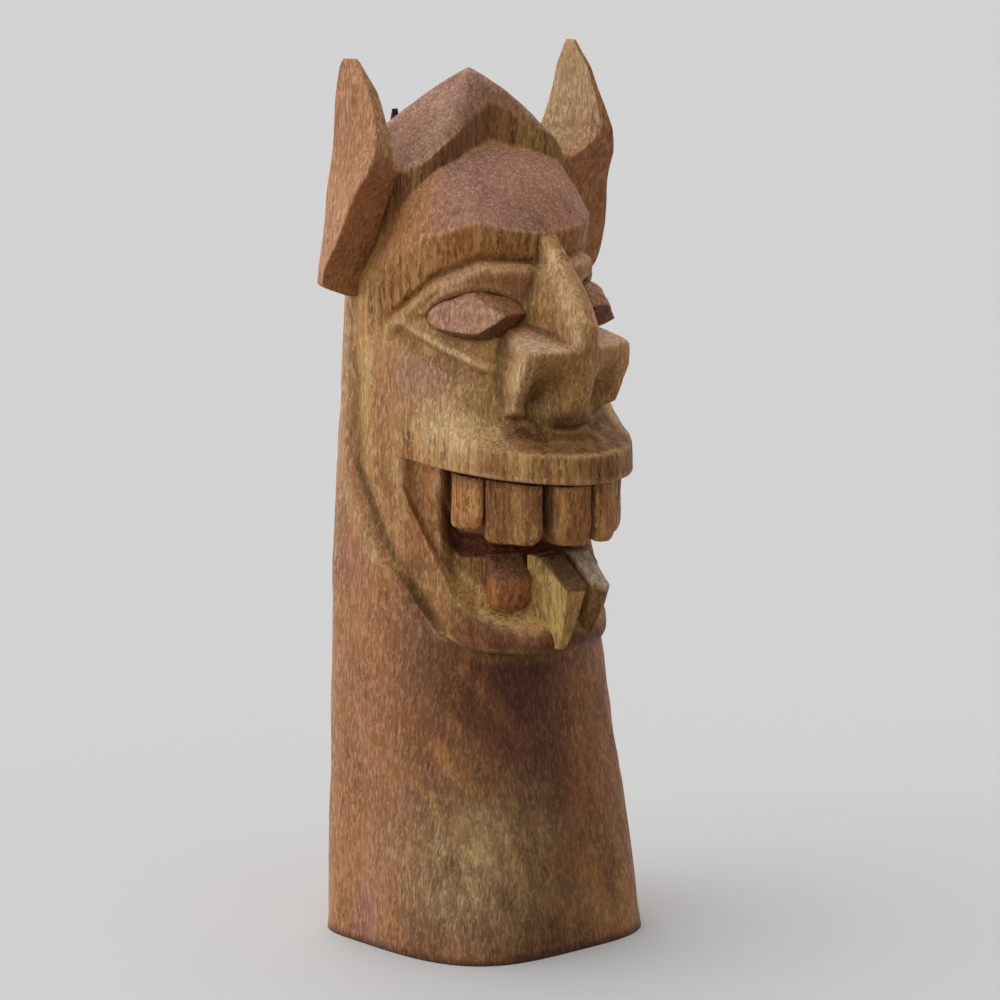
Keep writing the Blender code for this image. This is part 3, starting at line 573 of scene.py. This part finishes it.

# Nose, brow and folds: pale painted light on the nostrils' sides, the ridge's near half and each fold's edge,
# painted shade in and beside the nostrils, under each fold and at the ridge's foot, brown on the brow band
nose_stains_and_light = (
    # Painted light: the nostrils' sides painted pale
    (PALE * 1.6, wing * (0.95 + 0.4 * speck)),
    # Painted shade beside the nostrils
    (BROWN * 0.6, on_face * hump(high, 159, 6) * hump(off_front, 31, 10) * (0.4 + 0.6 * speck)),
    # Painted shade in the nostrils' hollows, lighter on the figure's left
    (BROWN * 0.3, nostril * (1 - 0.5 * ramp(left, -2, 4)) * (0.95 + 0.5 * speck)),
    (PINK, wing_top * (0.8 + 0.4 * speck)),
    (BROWN * 1.25, brow_band * (0.8 + 0.5 * fleck)),
    # Painted highlight along each fold's edge, painted shadow under it
    (PALE * 1.2, by_fold * hump(over_fold, 0.8, 0.9) * (0.6 + 0.4 * speck)),
    (BROWN * 0.7, by_fold * hump(over_fold, -2.6, 2.4) * (0.5 + 0.4 * speck)),
    # Painted light on the ridge's near half, orange on its far half, painted shade at its foot
    (PALE * 1.1, on_ridge * hump(left, -2.6, 1.8) * (0.45 + 0.4 * speck)),
    (ORANGE, on_ridge * hump(left, 1.6, 1.8) * 0.5),
    (BROWN * 0.75, on_ridge * hump(off_middle, 7.2, 1.8) * (0.5 + 0.4 * speck)),
)

# Forehead, stop cut and crown: purple end grain above, brown upright grain in the stop cut, darkened there as
# painted shade under the hair's edge
crown_stains_and_shade = (
    (ORANGE * 1.45, forehead * ahead_of_ears * (0.75 + 0.3 * speck)),
    (PURPLE, forehead * in_face(way, 38, 62) * (0.85 + 0.4 * blotch)),
    # Brown upright grain on the stop cut's wall, darkened as painted shade
    (BROWN * 0.74, stop_cut_wall * (0.9 + 0.4 * fleck)),
    (OLIVE * 0.65, stop_cut_wall * ramp(degrees, 5, 16) * (0.75 + 0.6 * fleck)),
    (OLIVE, hump(off_front, 85, 8) * hump(high, 188, 13) * (0.75 + 0.5 * speck)),
    (PURPLE * 0.85, on_crown * (0.85 + 0.4 * blotch)),
    (PALE * 0.7, on_crown * (0.1 + 0.9 * fleck + 0.4 * blotch) * 0.5),
)

# Over all: bare wood and painted shade in the hollows, pale worn corners, then red on the chin's front, the
# dark purple gum and painted shade in the slot under the lip
wear_and_shade = (
    (OLIVE, ramp(hollow, 0.12, 0.6) * 0.45),
    # Painted shade in the hollows
    (PAINTED_SHADE, ramp(hollow, 0.22, 1.2) * 0.62),
    (PALE, ramp(-hollow, 0.15, 0.8) * 0.3),
    (RED * 0.85, on_face * between(JAW_ROW, RIM_ROW + 0.2) * in_face(way, 30, 46) * (0.6 + 0.6 * speck)),
    (PLUM * 1.8, on_face * between(GUM_ROW - 0.05, SLOT_ROW) * in_face(way, 44, 52) * 0.9),
    # Painted shade in the slot under the lip
    (PAINTED_SHADE, on_face * between(SLOT_ROW, SLOT_ROW + 1.6) * in_face(way, 42, 47) * 0.9),
)
tones = np.tile(ORANGE, (len(flat_points), 1))
for tone, share in neck_stains_and_shade + mouth_stains_and_shade + cheek_stains_and_light + nose_stains_and_light + crown_stains_and_shade + wear_and_shade:
    tones = toned(tones, tone, share)
mouth_wall = in_mouth * between(RIM_ROW, LIP_ROW - 1)
streak = 0.2 + 0.8 * np.maximum.reduce([brow_band, lip_band, stop_cut_wall, 0.6 * mouth_wall])
paint(head, tones[head_places], streak[head_places])


class Value:
    """One output socket, so that shader sums read as sums."""

    def __init__(self, tree, socket):
        self.tree = tree
        self.socket = socket

    def node(self, kind, settings=None, out=0, **inputs):
        """Add a node; inputs are given by socket name, with _ for a space, or as n0, n1 by number."""
        made = self.tree.nodes.new(kind)
        for key, value in (settings or {}).items():
            setattr(made, key, value)
        for key, value in inputs.items():
            numbered = key[0] == "n" and key[1:].isdigit()
            socket = made.inputs[int(key[1:]) if numbered else key.replace("_", " ")]
            if isinstance(value, Value):
                self.tree.links.new(value.socket, socket)
            else:
                socket.default_value = value
        return Value(self.tree, made.outputs[out])

    def sum_with(self, operation, other, swapped=False):
        first, second = (other, self) if swapped else (self, other)
        return self.node('ShaderNodeMath', {"operation": operation}, n0=first, n1=second)

    def __add__(self, other):
        return self.sum_with('ADD', other)

    def __sub__(self, other):
        return self.sum_with('SUBTRACT', other)

    def __rsub__(self, other):
        return self.sum_with('SUBTRACT', other, True)

    def __mul__(self, other):
        return self.sum_with('MULTIPLY', other)


def wood(name, shift):
    """Oiled open-pored wood: pale flecks drawn out along the grain, dark pores and the piece's own stain."""
    made = bpy.data.materials.new(name)
    made.use_nodes = True
    tree = made.node_tree
    shader = tree.nodes["Principled BSDF"]
    spot = Value(tree, tree.nodes.new('ShaderNodeTexCoord').outputs["Object"])
    tone = spot.node('ShaderNodeAttribute', {"attribute_name": "tone"})
    streaky = spot.node('ShaderNodeAttribute', {"attribute_name": "tone"}, "Alpha")
    end = spot.node('ShaderNodeAttribute', {"attribute_name": "end_grain"}, "Fac")

    def grain(stretch, scale, detail, distortion=0.0):
        """Noise whose waves are drawn out along the upright grain."""
        drawn_out = spot.node(
            'ShaderNodeMapping', None, Vector=spot, Location=(shift, 0, 0), Scale=(1, 1, stretch)
        )
        return spot.node(
            'ShaderNodeTexNoise', None,
            Vector=drawn_out, Scale=scale, Detail=detail, Roughness=0.6, Distortion=distortion,
        )

    def stepped(value, low, high):
        """0 up to low, 1 from high and a straight rise between."""
        return value.node('ShaderNodeMapRange', None, Value=value, From_Min=low, From_Max=high)

    def blend(share, first, second, **settings):
        """Two colours mixed by a share."""
        settings["data_type"] = 'RGBA'
        return spot.node('ShaderNodeMix', settings, out=2, n0=share, n6=first, n7=second)

    wavy = grain(stretch=0.6, scale=70.0, detail=3.0)
    fibres = grain(stretch=0.05, scale=620.0, detail=3.0)
    upright = grain(stretch=0.3, scale=1200.0, detail=2.0, distortion=0.7)
    across = grain(stretch=1.0, scale=1150.0, detail=1.5, distortion=0.8)
    flecks = upright + (across - upright) * end
    pores = grain(stretch=0.3, scale=1400.0, detail=1.5, distortion=0.4)
    light = stepped(flecks, 0.49, 0.63)
    dark = stepped(pores, 0.48, 0.70)
    shade = 0.88 - dark * 0.28 + (wavy - 0.5) * 0.7 + (fibres - 0.5) * (streaky * 2.4 + 0.2)
    grey = spot.node('ShaderNodeCombineColor', None, Red=shade, Green=shade * 0.97, Blue=shade * 0.92)
    stained = blend(1.0, tone, grey, blend_type='MULTIPLY')
    brightened = blend(0.62, tone, tone, blend_type='SCREEN')
    colour = blend(light * 0.85, stained, brightened)
    relief = flecks * 0.7 - dark * 0.5 + fibres * streaky * 1.5
    normal = spot.node('ShaderNodeBump', None, Strength=0.6, Distance=0.0004, Height=relief)
    rough = 0.62 - light * 0.12
    tree.links.new(colour.socket, shader.inputs["Base Color"])
    tree.links.new(normal.socket, shader.inputs["Normal"])
    tree.links.new(rough.socket, shader.inputs["Roughness"])
    shader.inputs["Specular IOR Level"].default_value = 0.22
    return made


def settle(item, material, nodes):
    """Give a piece its material and tell the frame what it stands for."""
    item.data.materials.clear()
    item.data.materials.append(material)
    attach(item, "root")
    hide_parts(*nodes)


settle(head, wood("carved_wood", 0.0), ["head_block"])


# The ears are leaf-shaped wedges, each split off the same wood, pared to a corner in front and tenoned into
# the side of the head. Their faces were left as broad knife cuts and rubbed bright.
EAR_AROUND, EAR_ROWS, EAR_CORNERS = 96, 120, 4
EAR_MIDDLE = 8.0            # y of the middle of the tip
EAR_WEAR, EAR_UNEVEN = 3, 0.35
EAR_LEVELS = (
    # height, then inner front, front corner, outer back and inner back as distance from the middle and y
    (182.8, (31, 14.0), (36.5, 14.5), (36.5, 16.5), (28, 17.0)),
    (186.6, (31, 13.5), (47.0, 13.6), (46.2, 17.2), (28, 17.0)),
    (191.5, (31, 12.0), (48.2, 11.0), (45.5, 17.2), (28, 17.0)),
    (198.0, (31, 9.5), (48.2, 6.8), (44.6, 17.2), (28, 17.0)),
    (205.0, (31.5, 6.0), (48.0, 3.0), (43.8, 17.0), (28, 17.0)),
    (214.0, (31.5, 1.5), (47.2, -1.0), (42.8, 16.8), (28, 17.0)),
    (219.0, (32.5, -1.4), (45.8, -4.2), (42.2, 16.4), (27, 16.4)),
    (221.5, (36.0, -3.4), (45.0, -5.0), (42, 16.2), (30, 16.1)),
    (226.0, (38.6, -5.0), (43.8, -5.6), (41.5, 16.0), (34.5, 15.8)),
    (231.0, (38.8, -4.0), (42.4, -4.4), (41.2, 15.8), (36.8, 15.6)),
    (238.0, (39.0, -1.2), (41.4, -1.4), (41, 15.2), (39, 15.0)),
    (243.0, (39.1, 0.9), (41.1, 0.7), (40.9, 14.4), (39.4, 14.1)),
    (246.0, (39.2, 2.5), (40.9, 2.3), (40.9, 13.6), (39.5, 13.4)),
    (249.5, (39.4, 4.8), (40.6, 4.6), (40.9, 12.6), (39.7, 12.4)),
    (251.0, (39.8, 6.2), (40.4, 6.0), (40.7, 11.4), (40.0, 11.2)),
)
EAR_STAIN = linear(185, 130, 91)
EARS = (
    # node, side, share of the full length, lean of the inner front edge, share of the tip's depth,
    # how far the foot comes forward, pale tone of the rubbed faces and how far its front edge is rubbed
    ("right_ear", -1, 0.966, -1.8, 1.0, 0.0, PALE * 0.85, 0.7),
    ("left_ear", 1, 1.0, 0.6, 0.7, 9.4, PALE * 0.68, 0.0),
)
ear_heights = np.array([row[0] for row in EAR_LEVELS])
ear_corners = np.array([row[1:] for row in EAR_LEVELS])
ear_foot = ear_heights[0]


def ear_outline(height, lean, tip, fore):
    """The four corners of one ear at a height, as distance from the middle and y."""
    corners = np.array([
        [np.interp(height, ear_heights, ear_corners[:, corner, axis]) for axis in (0, 1)]
        for corner in range(EAR_CORNERS)
    ])
    corners[:2, 1] -= fore * (1 - ramp(height, 183, 214))
    corners[1, 0] += 0.7 * fore * (1 - ramp(height, 183, 186.6))
    corners[0, 0] += lean * ramp(height, 219.5, 224) * (1 - ramp(height, 240, 250))
    corners[:, 1] = EAR_MIDDLE + (corners[:, 1] - EAR_MIDDLE) * mixed(1, tip, ramp(height, 243, 250))
    return corners


ear_wood = wood("ear_wood", 0.05)
for node, side, length, lean, tip, fore, pale, edge_rub in EARS:
    rings = []
    for height in np.linspace(ear_foot, ear_heights[-1], EAR_ROWS):
        corners = ear_outline(height, lean, tip, fore)
        ring = []
        for one, other in zip(corners, np.roll(corners, -1, axis=0)):
            for step in range(EAR_AROUND // EAR_CORNERS):
                ring.append([*mixed(one, other, step * EAR_CORNERS / EAR_AROUND), height])
        rings.append(ring)
    spots = np.array(rings)
    for again in range(EAR_WEAR):
        spots = softened(spots, 0.5)
    spots = spots[:, ::-1] if side > 0 else spots
    spots[:, :, 2] = ear_foot + (spots[:, :, 2] - ear_foot) * length
    spots = spots.reshape(-1, 3) * np.array([side, 1, 1])
    spots += EAR_UNEVEN * np.stack([noise_at(spots, (9, 9, 16), 20 + axis) for axis in range(3)], axis=1)
    ear, places = tube("carved_" + node, spots, EAR_AROUND)
    spots = spots[places]
    stain = noise_at(spots, (16, 16, 30), 5)
    tones = toned(np.tile(EAR_STAIN, (len(spots), 1)), RED, 0.08 + 0.4 * stain)
    across, back, up = facing(ear).T
    leaf = ramp(spots[:, 2] - 0.5 * np.abs(spots[:, 0]), 202.6, 204.2)
    brightened = np.maximum(ramp(-side * across, 0.45, 0.75), edge_rub * ramp(-back, 0.55, 0.8))
    tones = toned(tones, pale, brightened * leaf * (0.7 + 0.5 * stain))
    paint(ear, tones, 0.3)
    settle(ear, ear_wood, [node])


# The eyes are almond-shaped wedges of the same wood, pared with four knife cuts to a blunt ridge, stained
# and let into their sockets. The left one stands a little further out.
EYE_SINK, LEFT_EYE_OUT = 2.0, 1.4
EYE_STAIN = linear(192, 144, 112)


def shell(name, across, up, outer, inner):
    """A closed piece between an outer and an inner face, each a function of (u, v) from -1 to 1."""
    bm = bmesh.new()
    bmesh.ops.create_grid(bm, x_segments=across, y_segments=up, size=1)
    back = list(bm.verts)
    made = bmesh.ops.extrude_face_region(bm, geom=list(bm.faces), use_keep_orig=True)["geom"]
    for vert in back:
        vert.co = Vector(inner(vert.co.x, vert.co.y)) * MILLIMETRE
    for vert in made:
        if isinstance(vert, bmesh.types.BMVert):
            vert.co = Vector(outer(vert.co.x, vert.co.y)) * MILLIMETRE
    bmesh.ops.remove_doubles(bm, verts=bm.verts, dist=1e-7)
    bmesh.ops.recalc_face_normals(bm, faces=bm.faces)
    return linked(name, bm)


def spots_of(item):
    """Where a piece's vertices are, in millimetres."""
    spots = np.empty(len(item.data.vertices) * 3, dtype=np.float32)
    item.data.vertices.foreach_get("co", spots)
    return spots.reshape(-1, 3).astype(float) / MILLIMETRE


def worn(item, voxel, smoothing, unevenness):
    """Remake a piece as a fine even mesh with its edges rubbed round."""
    remesh = item.modifiers.new("finer", 'REMESH')
    remesh.mode = 'VOXEL'
    remesh.voxel_size = voxel
    soften = item.modifiers.new("worn", 'SMOOTH')
    soften.factor = 0.5
    soften.iterations = smoothing
    finer = bpy.data.meshes.new_from_object(item.evaluated_get(bpy.context.evaluated_depsgraph_get()))
    item.modifiers.clear()
    item.data = finer
    smoothed(finer)
    spots = spots_of(item)
    lumps = 0.45 * noise_at(spots, (6, 6, 9), 30) + 0.18 * noise_at(spots, (1.8, 1.8, 6), 31)
    spots += facing(item) * (lumps * unevenness)[:, None]
    finer.vertices.foreach_set("co", (spots * MILLIMETRE).astype(np.float32).ravel())
    finer.update()


def placed(angle, reach, height):
    """A point at an angle from the front and a distance from the upright line."""
    return reach * math.sin(angle), AXIS_BACK - reach * math.cos(angle), height


def face_reach(turned_to, height):
    """Distance of the face, without nose and lids, a number of degrees round from the front."""
    nearest = np.argmin(np.abs(angles - math.radians(turned_to)))
    return float(np.interp(height, heights[:, nearest], face[:, nearest]))


def almond_height(u):
    """How far the lids stand open, from 0 at the corners to 1."""
    return (1 - abs(u) ** ALMOND) ** (1 / ALMOND)


def eye_point(side, u, v, out):
    """A point of the almond, so far out from the face; u runs from the nose to the temple, v up."""
    turned_to = EYE_TURN + EYE_HALF_TURN * u
    half = (EYE_UP if v > 0 else EYE_DOWN) - FIT
    height = EYE + v * half * almond_height(u)
    return placed(side * math.radians(turned_to), face_reach(side * turned_to, height) + out, height)


def eye_rise(u, v):
    """Four knife cuts: the long upper cut, its rounded top, the cut towards the nose and the undercut."""
    half = (EYE_UP if v > 0 else EYE_DOWN) * almond_height(u)
    height = v * half
    upper = 6.4 - 5.4 * u - 0.36 * height
    top = 0.4 + 1.4 * (1 - v) * half
    towards_nose = 10.6 + 9.8 * u + 1.1 * height
    under = -0.8 + 3.0 * (v + 1) * half
    return min(upper, top, towards_nose, under)


eye_wood = wood("eye_wood", 0.09)
for node, side, out in (("right_eye", -1, 0.0), ("left_eye", 1, LEFT_EYE_OUT)):
    eye = shell(
        "carved_" + node, 60, 40,
        lambda u, v: eye_point(side, u, v, eye_rise(u, v) + out),
        lambda u, v: eye_point(side, u, v, -EYE_SINK),
    )
    worn(eye, voxel=0.00035, smoothing=7, unevenness=1.3)
    spots = spots_of(eye)
    tones = np.tile(EYE_STAIN, (len(spots), 1))
    tones = toned(tones, PURPLE, 0.3 + 0.5 * noise_at(spots, (5, 5, 5), 6))
    across, back, up = facing(eye).T
    # Painted shade: brown on all but the cut that faces the temple, and dark on the undercut that faces down
    tones = toned(tones, BROWN * 0.85, 0.75 * ramp(-side * across, -0.5, -0.1))
    tones = toned(tones, PAINTED_SHADE, 0.5 * ramp(-up, 0.25, 0.6))
    paint(eye, tones, 0.1)
    settle(eye, eye_wood, [node])


# The upper teeth are blocks of paler wood with rubbed corners, three to a side. They hang side by side from a
# slot under the lip; painted shade darkens their roots under the lip and the sides that turn between them.
TOOTH_STAIN = linear(158, 106, 60)
TOOTH_TURNS = ((0.8, 12.0), (14.4, 30.2), (30.9, 42.3))
TOOTH_LENGTHS = (17.5, 17.2, 13.5)
TOOTH_TAPER, TOOTH_CORNER, TOOTH_EDGE, TOOTH_TUCK = 0.06, 1.1, 1.3, 0.9
UPPER_TEETH = (
    # side, hand and how bright the three teeth are, from the middle outwards
    (-1, "right", (1.05, 0.82, 1.35)),
    (1, "left", (1.2, 1.15, 1.3)),
)
tooth_wood = wood("tooth_wood", 0.13)


def tooth_point(side, turns, length, u, v, inward):
    """A point of an upper tooth, so far in from its front; u runs outwards from the middle, v up."""
    narrowed = u * (1 - TOOTH_TAPER * max(0, -v) ** 3)
    turned_to = math.radians(mixed(*turns, (narrowed + 1) / 2))
    bottom = LIP - length + TOOTH_CORNER * u**4
    height = mixed(bottom, float(lip_height(turned_to)) - TOOTH_TUCK, (v + 1) / 2)
    return placed(side * turned_to, float(tooth_line(turned_to)) - inward, height)


for side, hand, shades in UPPER_TEETH:
    for number, (turns, length, shade) in enumerate(zip(TOOTH_TURNS, TOOTH_LENGTHS, shades), 1):
        node = f"{hand}_upper_tooth_{number}"
        tooth = shell(
            "carved_" + node, 24, 24,
            lambda u, v: tooth_point(side, turns, length, u, v, TOOTH_EDGE * (u**4 + max(0, -v) ** 4)),
            lambda u, v: tooth_point(side, turns, length, u, v, TOOTH_THICK),
        )
        worn(tooth, voxel=0.0004, smoothing=5, unevenness=1.3)
        spots = spots_of(tooth)
        tones = np.tile(TOOTH_STAIN * shade, (len(spots), 1))
        tones = toned(tones, OLIVE, 0.1 + 0.8 * noise_at(spots, (4, 4, 14), 7))
        # Painted shade under the lip at each tooth's root
        tones = toned(tones, PAINTED_SHADE, 0.5 * ramp(spots[:, 2], LIP - 3, LIP + 3))
        way = np.arctan2(spots[:, 0], AXIS_BACK - spots[:, 1])
        across, back, up = facing(tooth).T
        # Painted shade on the side faces turned towards the middle, and on both sides of the middle teeth
        inward = -side * (across * np.cos(way) + back * np.sin(way))
        shaded_side = ramp(inward if number > 1 else np.abs(inward), 0.5, 0.85)
        tones = toned(tones, PAINTED_SHADE, 0.65 * shaded_side)
        paint(tooth, tones, 0.8)
        settle(tooth, tooth_wood, [node])


# The lower teeth are two tall tusks, like prows with sloping tops, and a short stub beside each. They are
# whittled from the same paler wood and let into pockets in the gum. The left tusk comes to a point.
TUSK_ROOT, TUSK_FOOT, TUSK_SHOULDER, TUSK_TOP_FRONT = 30.0, 87.5, 104.5, 35.0
STUB_ROOT, STUB_FOOT, STUB_SHOULDER, STUB_TOP_REACH = 36.2, 97.5, 107.0, 39.5
STUB_TURNS, STUB_FRONTS = (27.8, 12.8), {-1: 46.8, 1: 44.0}
LOWER_TOP = 113.2
STUB_STAIN, STUB_TOP_STAIN = linear(162, 104, 56), linear(113, 78, 56)


def tusk_point(side, u, v, back):
    """u runs from the outer side to the middle, v from the foot up the front and over the sloping top."""
    climb = min(1, (v + 1) / 1.4)
    over = max(0, (v - 0.4) / 0.6)
    outer = mixed(-8.2, -10.2, climb) if back else mixed(-6.8, -8.2, climb)
    inner = mixed(-4.8, -1.2, climb**0.8)
    height = mixed(mixed(TUSK_FOOT, TUSK_SHOULDER + 1.2 * (u + 1) / 2, climb), LOWER_TOP, over)
    foot, tip = (39.5, 44.2 + 0.8 * (u + 1) / 2) if side < 0 else (36.0, 46.6 - 2.6 * abs(u))
    front = mixed(mixed(foot, tip, climb**0.7), TUSK_TOP_FRONT, over)
    return side * -mixed(outer, inner, (u + 1) / 2), -(TUSK_ROOT if back else front), height


def stub_point(side, u, v, back):
    """As tusk_point, but bent round the gum."""
    climb = min(1, (v + 1) / 1.3)
    over = max(0, (v - 0.3) / 0.7)
    height = mixed(mixed(STUB_FOOT + 1.5 * u * u, STUB_SHOULDER, climb), LOWER_TOP, over)
    turned_to = math.radians(mixed(*STUB_TURNS, (u + 1) / 2))
    reach = mixed(STUB_FRONTS[side] - 1.6 * u**4 - 2.5 * (1 - climb) ** 3, STUB_TOP_REACH, over)
    return placed(side * turned_to, STUB_ROOT if back else reach, height)


LOWER_TEETH = (
    # node, its shape, its side, then the stain on its sides and the tone of its top: painted shadow on the
    # right tusk's top, painted light on the left tusk's top, stain on the stubs' tops
    ("right_tusk", tusk_point, -1, linear(178, 142, 82), PAINTED_SHADE * 1.3),
    ("left_tusk", tusk_point, 1, linear(132, 98, 58), linear(186, 166, 140)),
    ("right_stub", stub_point, -1, STUB_STAIN, STUB_TOP_STAIN),
    ("left_stub", stub_point, 1, STUB_STAIN, STUB_TOP_STAIN),
)
for node, point, side, stain, top_stain_and_light in LOWER_TEETH:
    tooth = shell(
        "carved_" + node, 16, 40,
        lambda u, v: point(side, u, v, False),
        lambda u, v: point(side, u, v, True),
    )
    worn(tooth, voxel=0.00035, smoothing=3, unevenness=0.8)
    spots = spots_of(tooth)
    if point is tusk_point:
        on_top = ramp(spots[:, 2] * 0.8 - spots[:, 1] * 0.6, 109.6, 110.4)
    else:
        on_top = ramp(spots[:, 2], 106.6, 107.6)
    tones = toned(np.tile(stain, (len(spots), 1)), top_stain_and_light, 0.85 * on_top)
    paint(tooth, tones, 0.8)
    settle(tooth, tooth_wood, [node])


# The hanging nail is a blackened cut nail, driven into the back of the head and bent up. It takes the packed
# nail's shape, grown a little to make good what rubbing its edges round takes off.
NAIL_GROWTH = 1.07
iron = bpy.data.materials.new("dark_iron")
iron.use_nodes = True
iron_shader = iron.node_tree.nodes["Principled BSDF"]
iron_shader.inputs["Base Color"].default_value = (0.02, 0.02, 0.022, 1)
iron_shader.inputs["Roughness"].default_value = 0.5
iron_shader.inputs["Metallic"].default_value = 0.6
nail_mesh = bmesh.new()
nail_mesh.from_mesh(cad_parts["hanging_nail"].data)
bmesh.ops.remove_doubles(nail_mesh, verts=nail_mesh.verts, dist=1e-6)
nail_foot = min((vert.co.copy() for vert in nail_mesh.verts), key=lambda spot: spot.y)
bmesh.ops.scale(
    nail_mesh, verts=nail_mesh.verts, vec=(NAIL_GROWTH, NAIL_GROWTH, NAIL_GROWTH),
    space=Matrix.Translation(-nail_foot),
)
nail = linked("bent_nail", nail_mesh)
worn(nail, voxel=0.0002, smoothing=2, unevenness=0.2)
settle(nail, iron, ["hanging_nail"])


# The studio is a pale seamless paper floor under a broad soft light from the upper left, with a grey sky for
# the rest of the light, seen from the photograph's viewpoint through a long lens.
FLOOR_SIZE = 8.0
floor_mesh = bmesh.new()
bmesh.ops.create_grid(floor_mesh, x_segments=1, y_segments=1, size=FLOOR_SIZE)
floor = linked("floor", floor_mesh)
paper = bpy.data.materials.new("paper")
paper.use_nodes = True
paper_shader = paper.node_tree.nodes["Principled BSDF"]
paper_shader.inputs["Base Color"].default_value = (0.60, 0.60, 0.60, 1)
paper_shader.inputs["Roughness"].default_value = 0.9
paper_shader.inputs["Specular IOR Level"].default_value = 0.1
floor.data.materials.append(paper)

scene = bpy.context.scene
scene.view_settings.view_transform = 'Standard'
world = bpy.data.worlds.new("studio")
scene.world = world
world.use_nodes = True
sky = world.node_tree.nodes["Background"]
sky.inputs["Color"].default_value = (0.66, 0.66, 0.66, 1)
sky.inputs["Strength"].default_value = 0.85

AZIMUTH, ELEVATION = math.radians(41), math.radians(10)
TARGET_SIDE, TARGET_HEIGHT, DISTANCE = 0.0045, 0.1233, 1.131
towards = Vector((
    -math.sin(AZIMUTH) * math.cos(ELEVATION), -math.cos(AZIMUTH) * math.cos(ELEVATION), math.sin(ELEVATION)
))
sideways = Vector((math.cos(AZIMUTH), -math.sin(AZIMUTH), 0))
target = sideways * TARGET_SIDE + Vector((0, 0, TARGET_HEIGHT))

# Key light: a broad soft glow from the camera's left, above and a little behind the figure
KEY_SIDE, KEY_AHEAD, KEY_UP = -0.65, -0.25, 0.72
ahead = Vector((towards.x, towards.y, 0)).normalized()
glow = bpy.data.lights.new("key", 'SUN')
glow.energy = 2.2
glow.angle = math.radians(110)
key = bpy.data.objects.new("key", glow)
bpy.context.collection.objects.link(key)
key_from = sideways * KEY_SIDE + ahead * KEY_AHEAD + Vector((0, 0, KEY_UP))
key.rotation_euler = key_from.to_track_quat('Z', 'Y').to_euler()

lens = bpy.data.cameras.new("view")
lens.lens = 144
lens.sensor_width = 36
camera = bpy.data.objects.new("view", lens)
bpy.context.collection.objects.link(camera)
camera.location = target + towards * DISTANCE
camera.rotation_euler = (-towards).to_track_quat('-Z', 'Y').to_euler()
scene.camera = camera
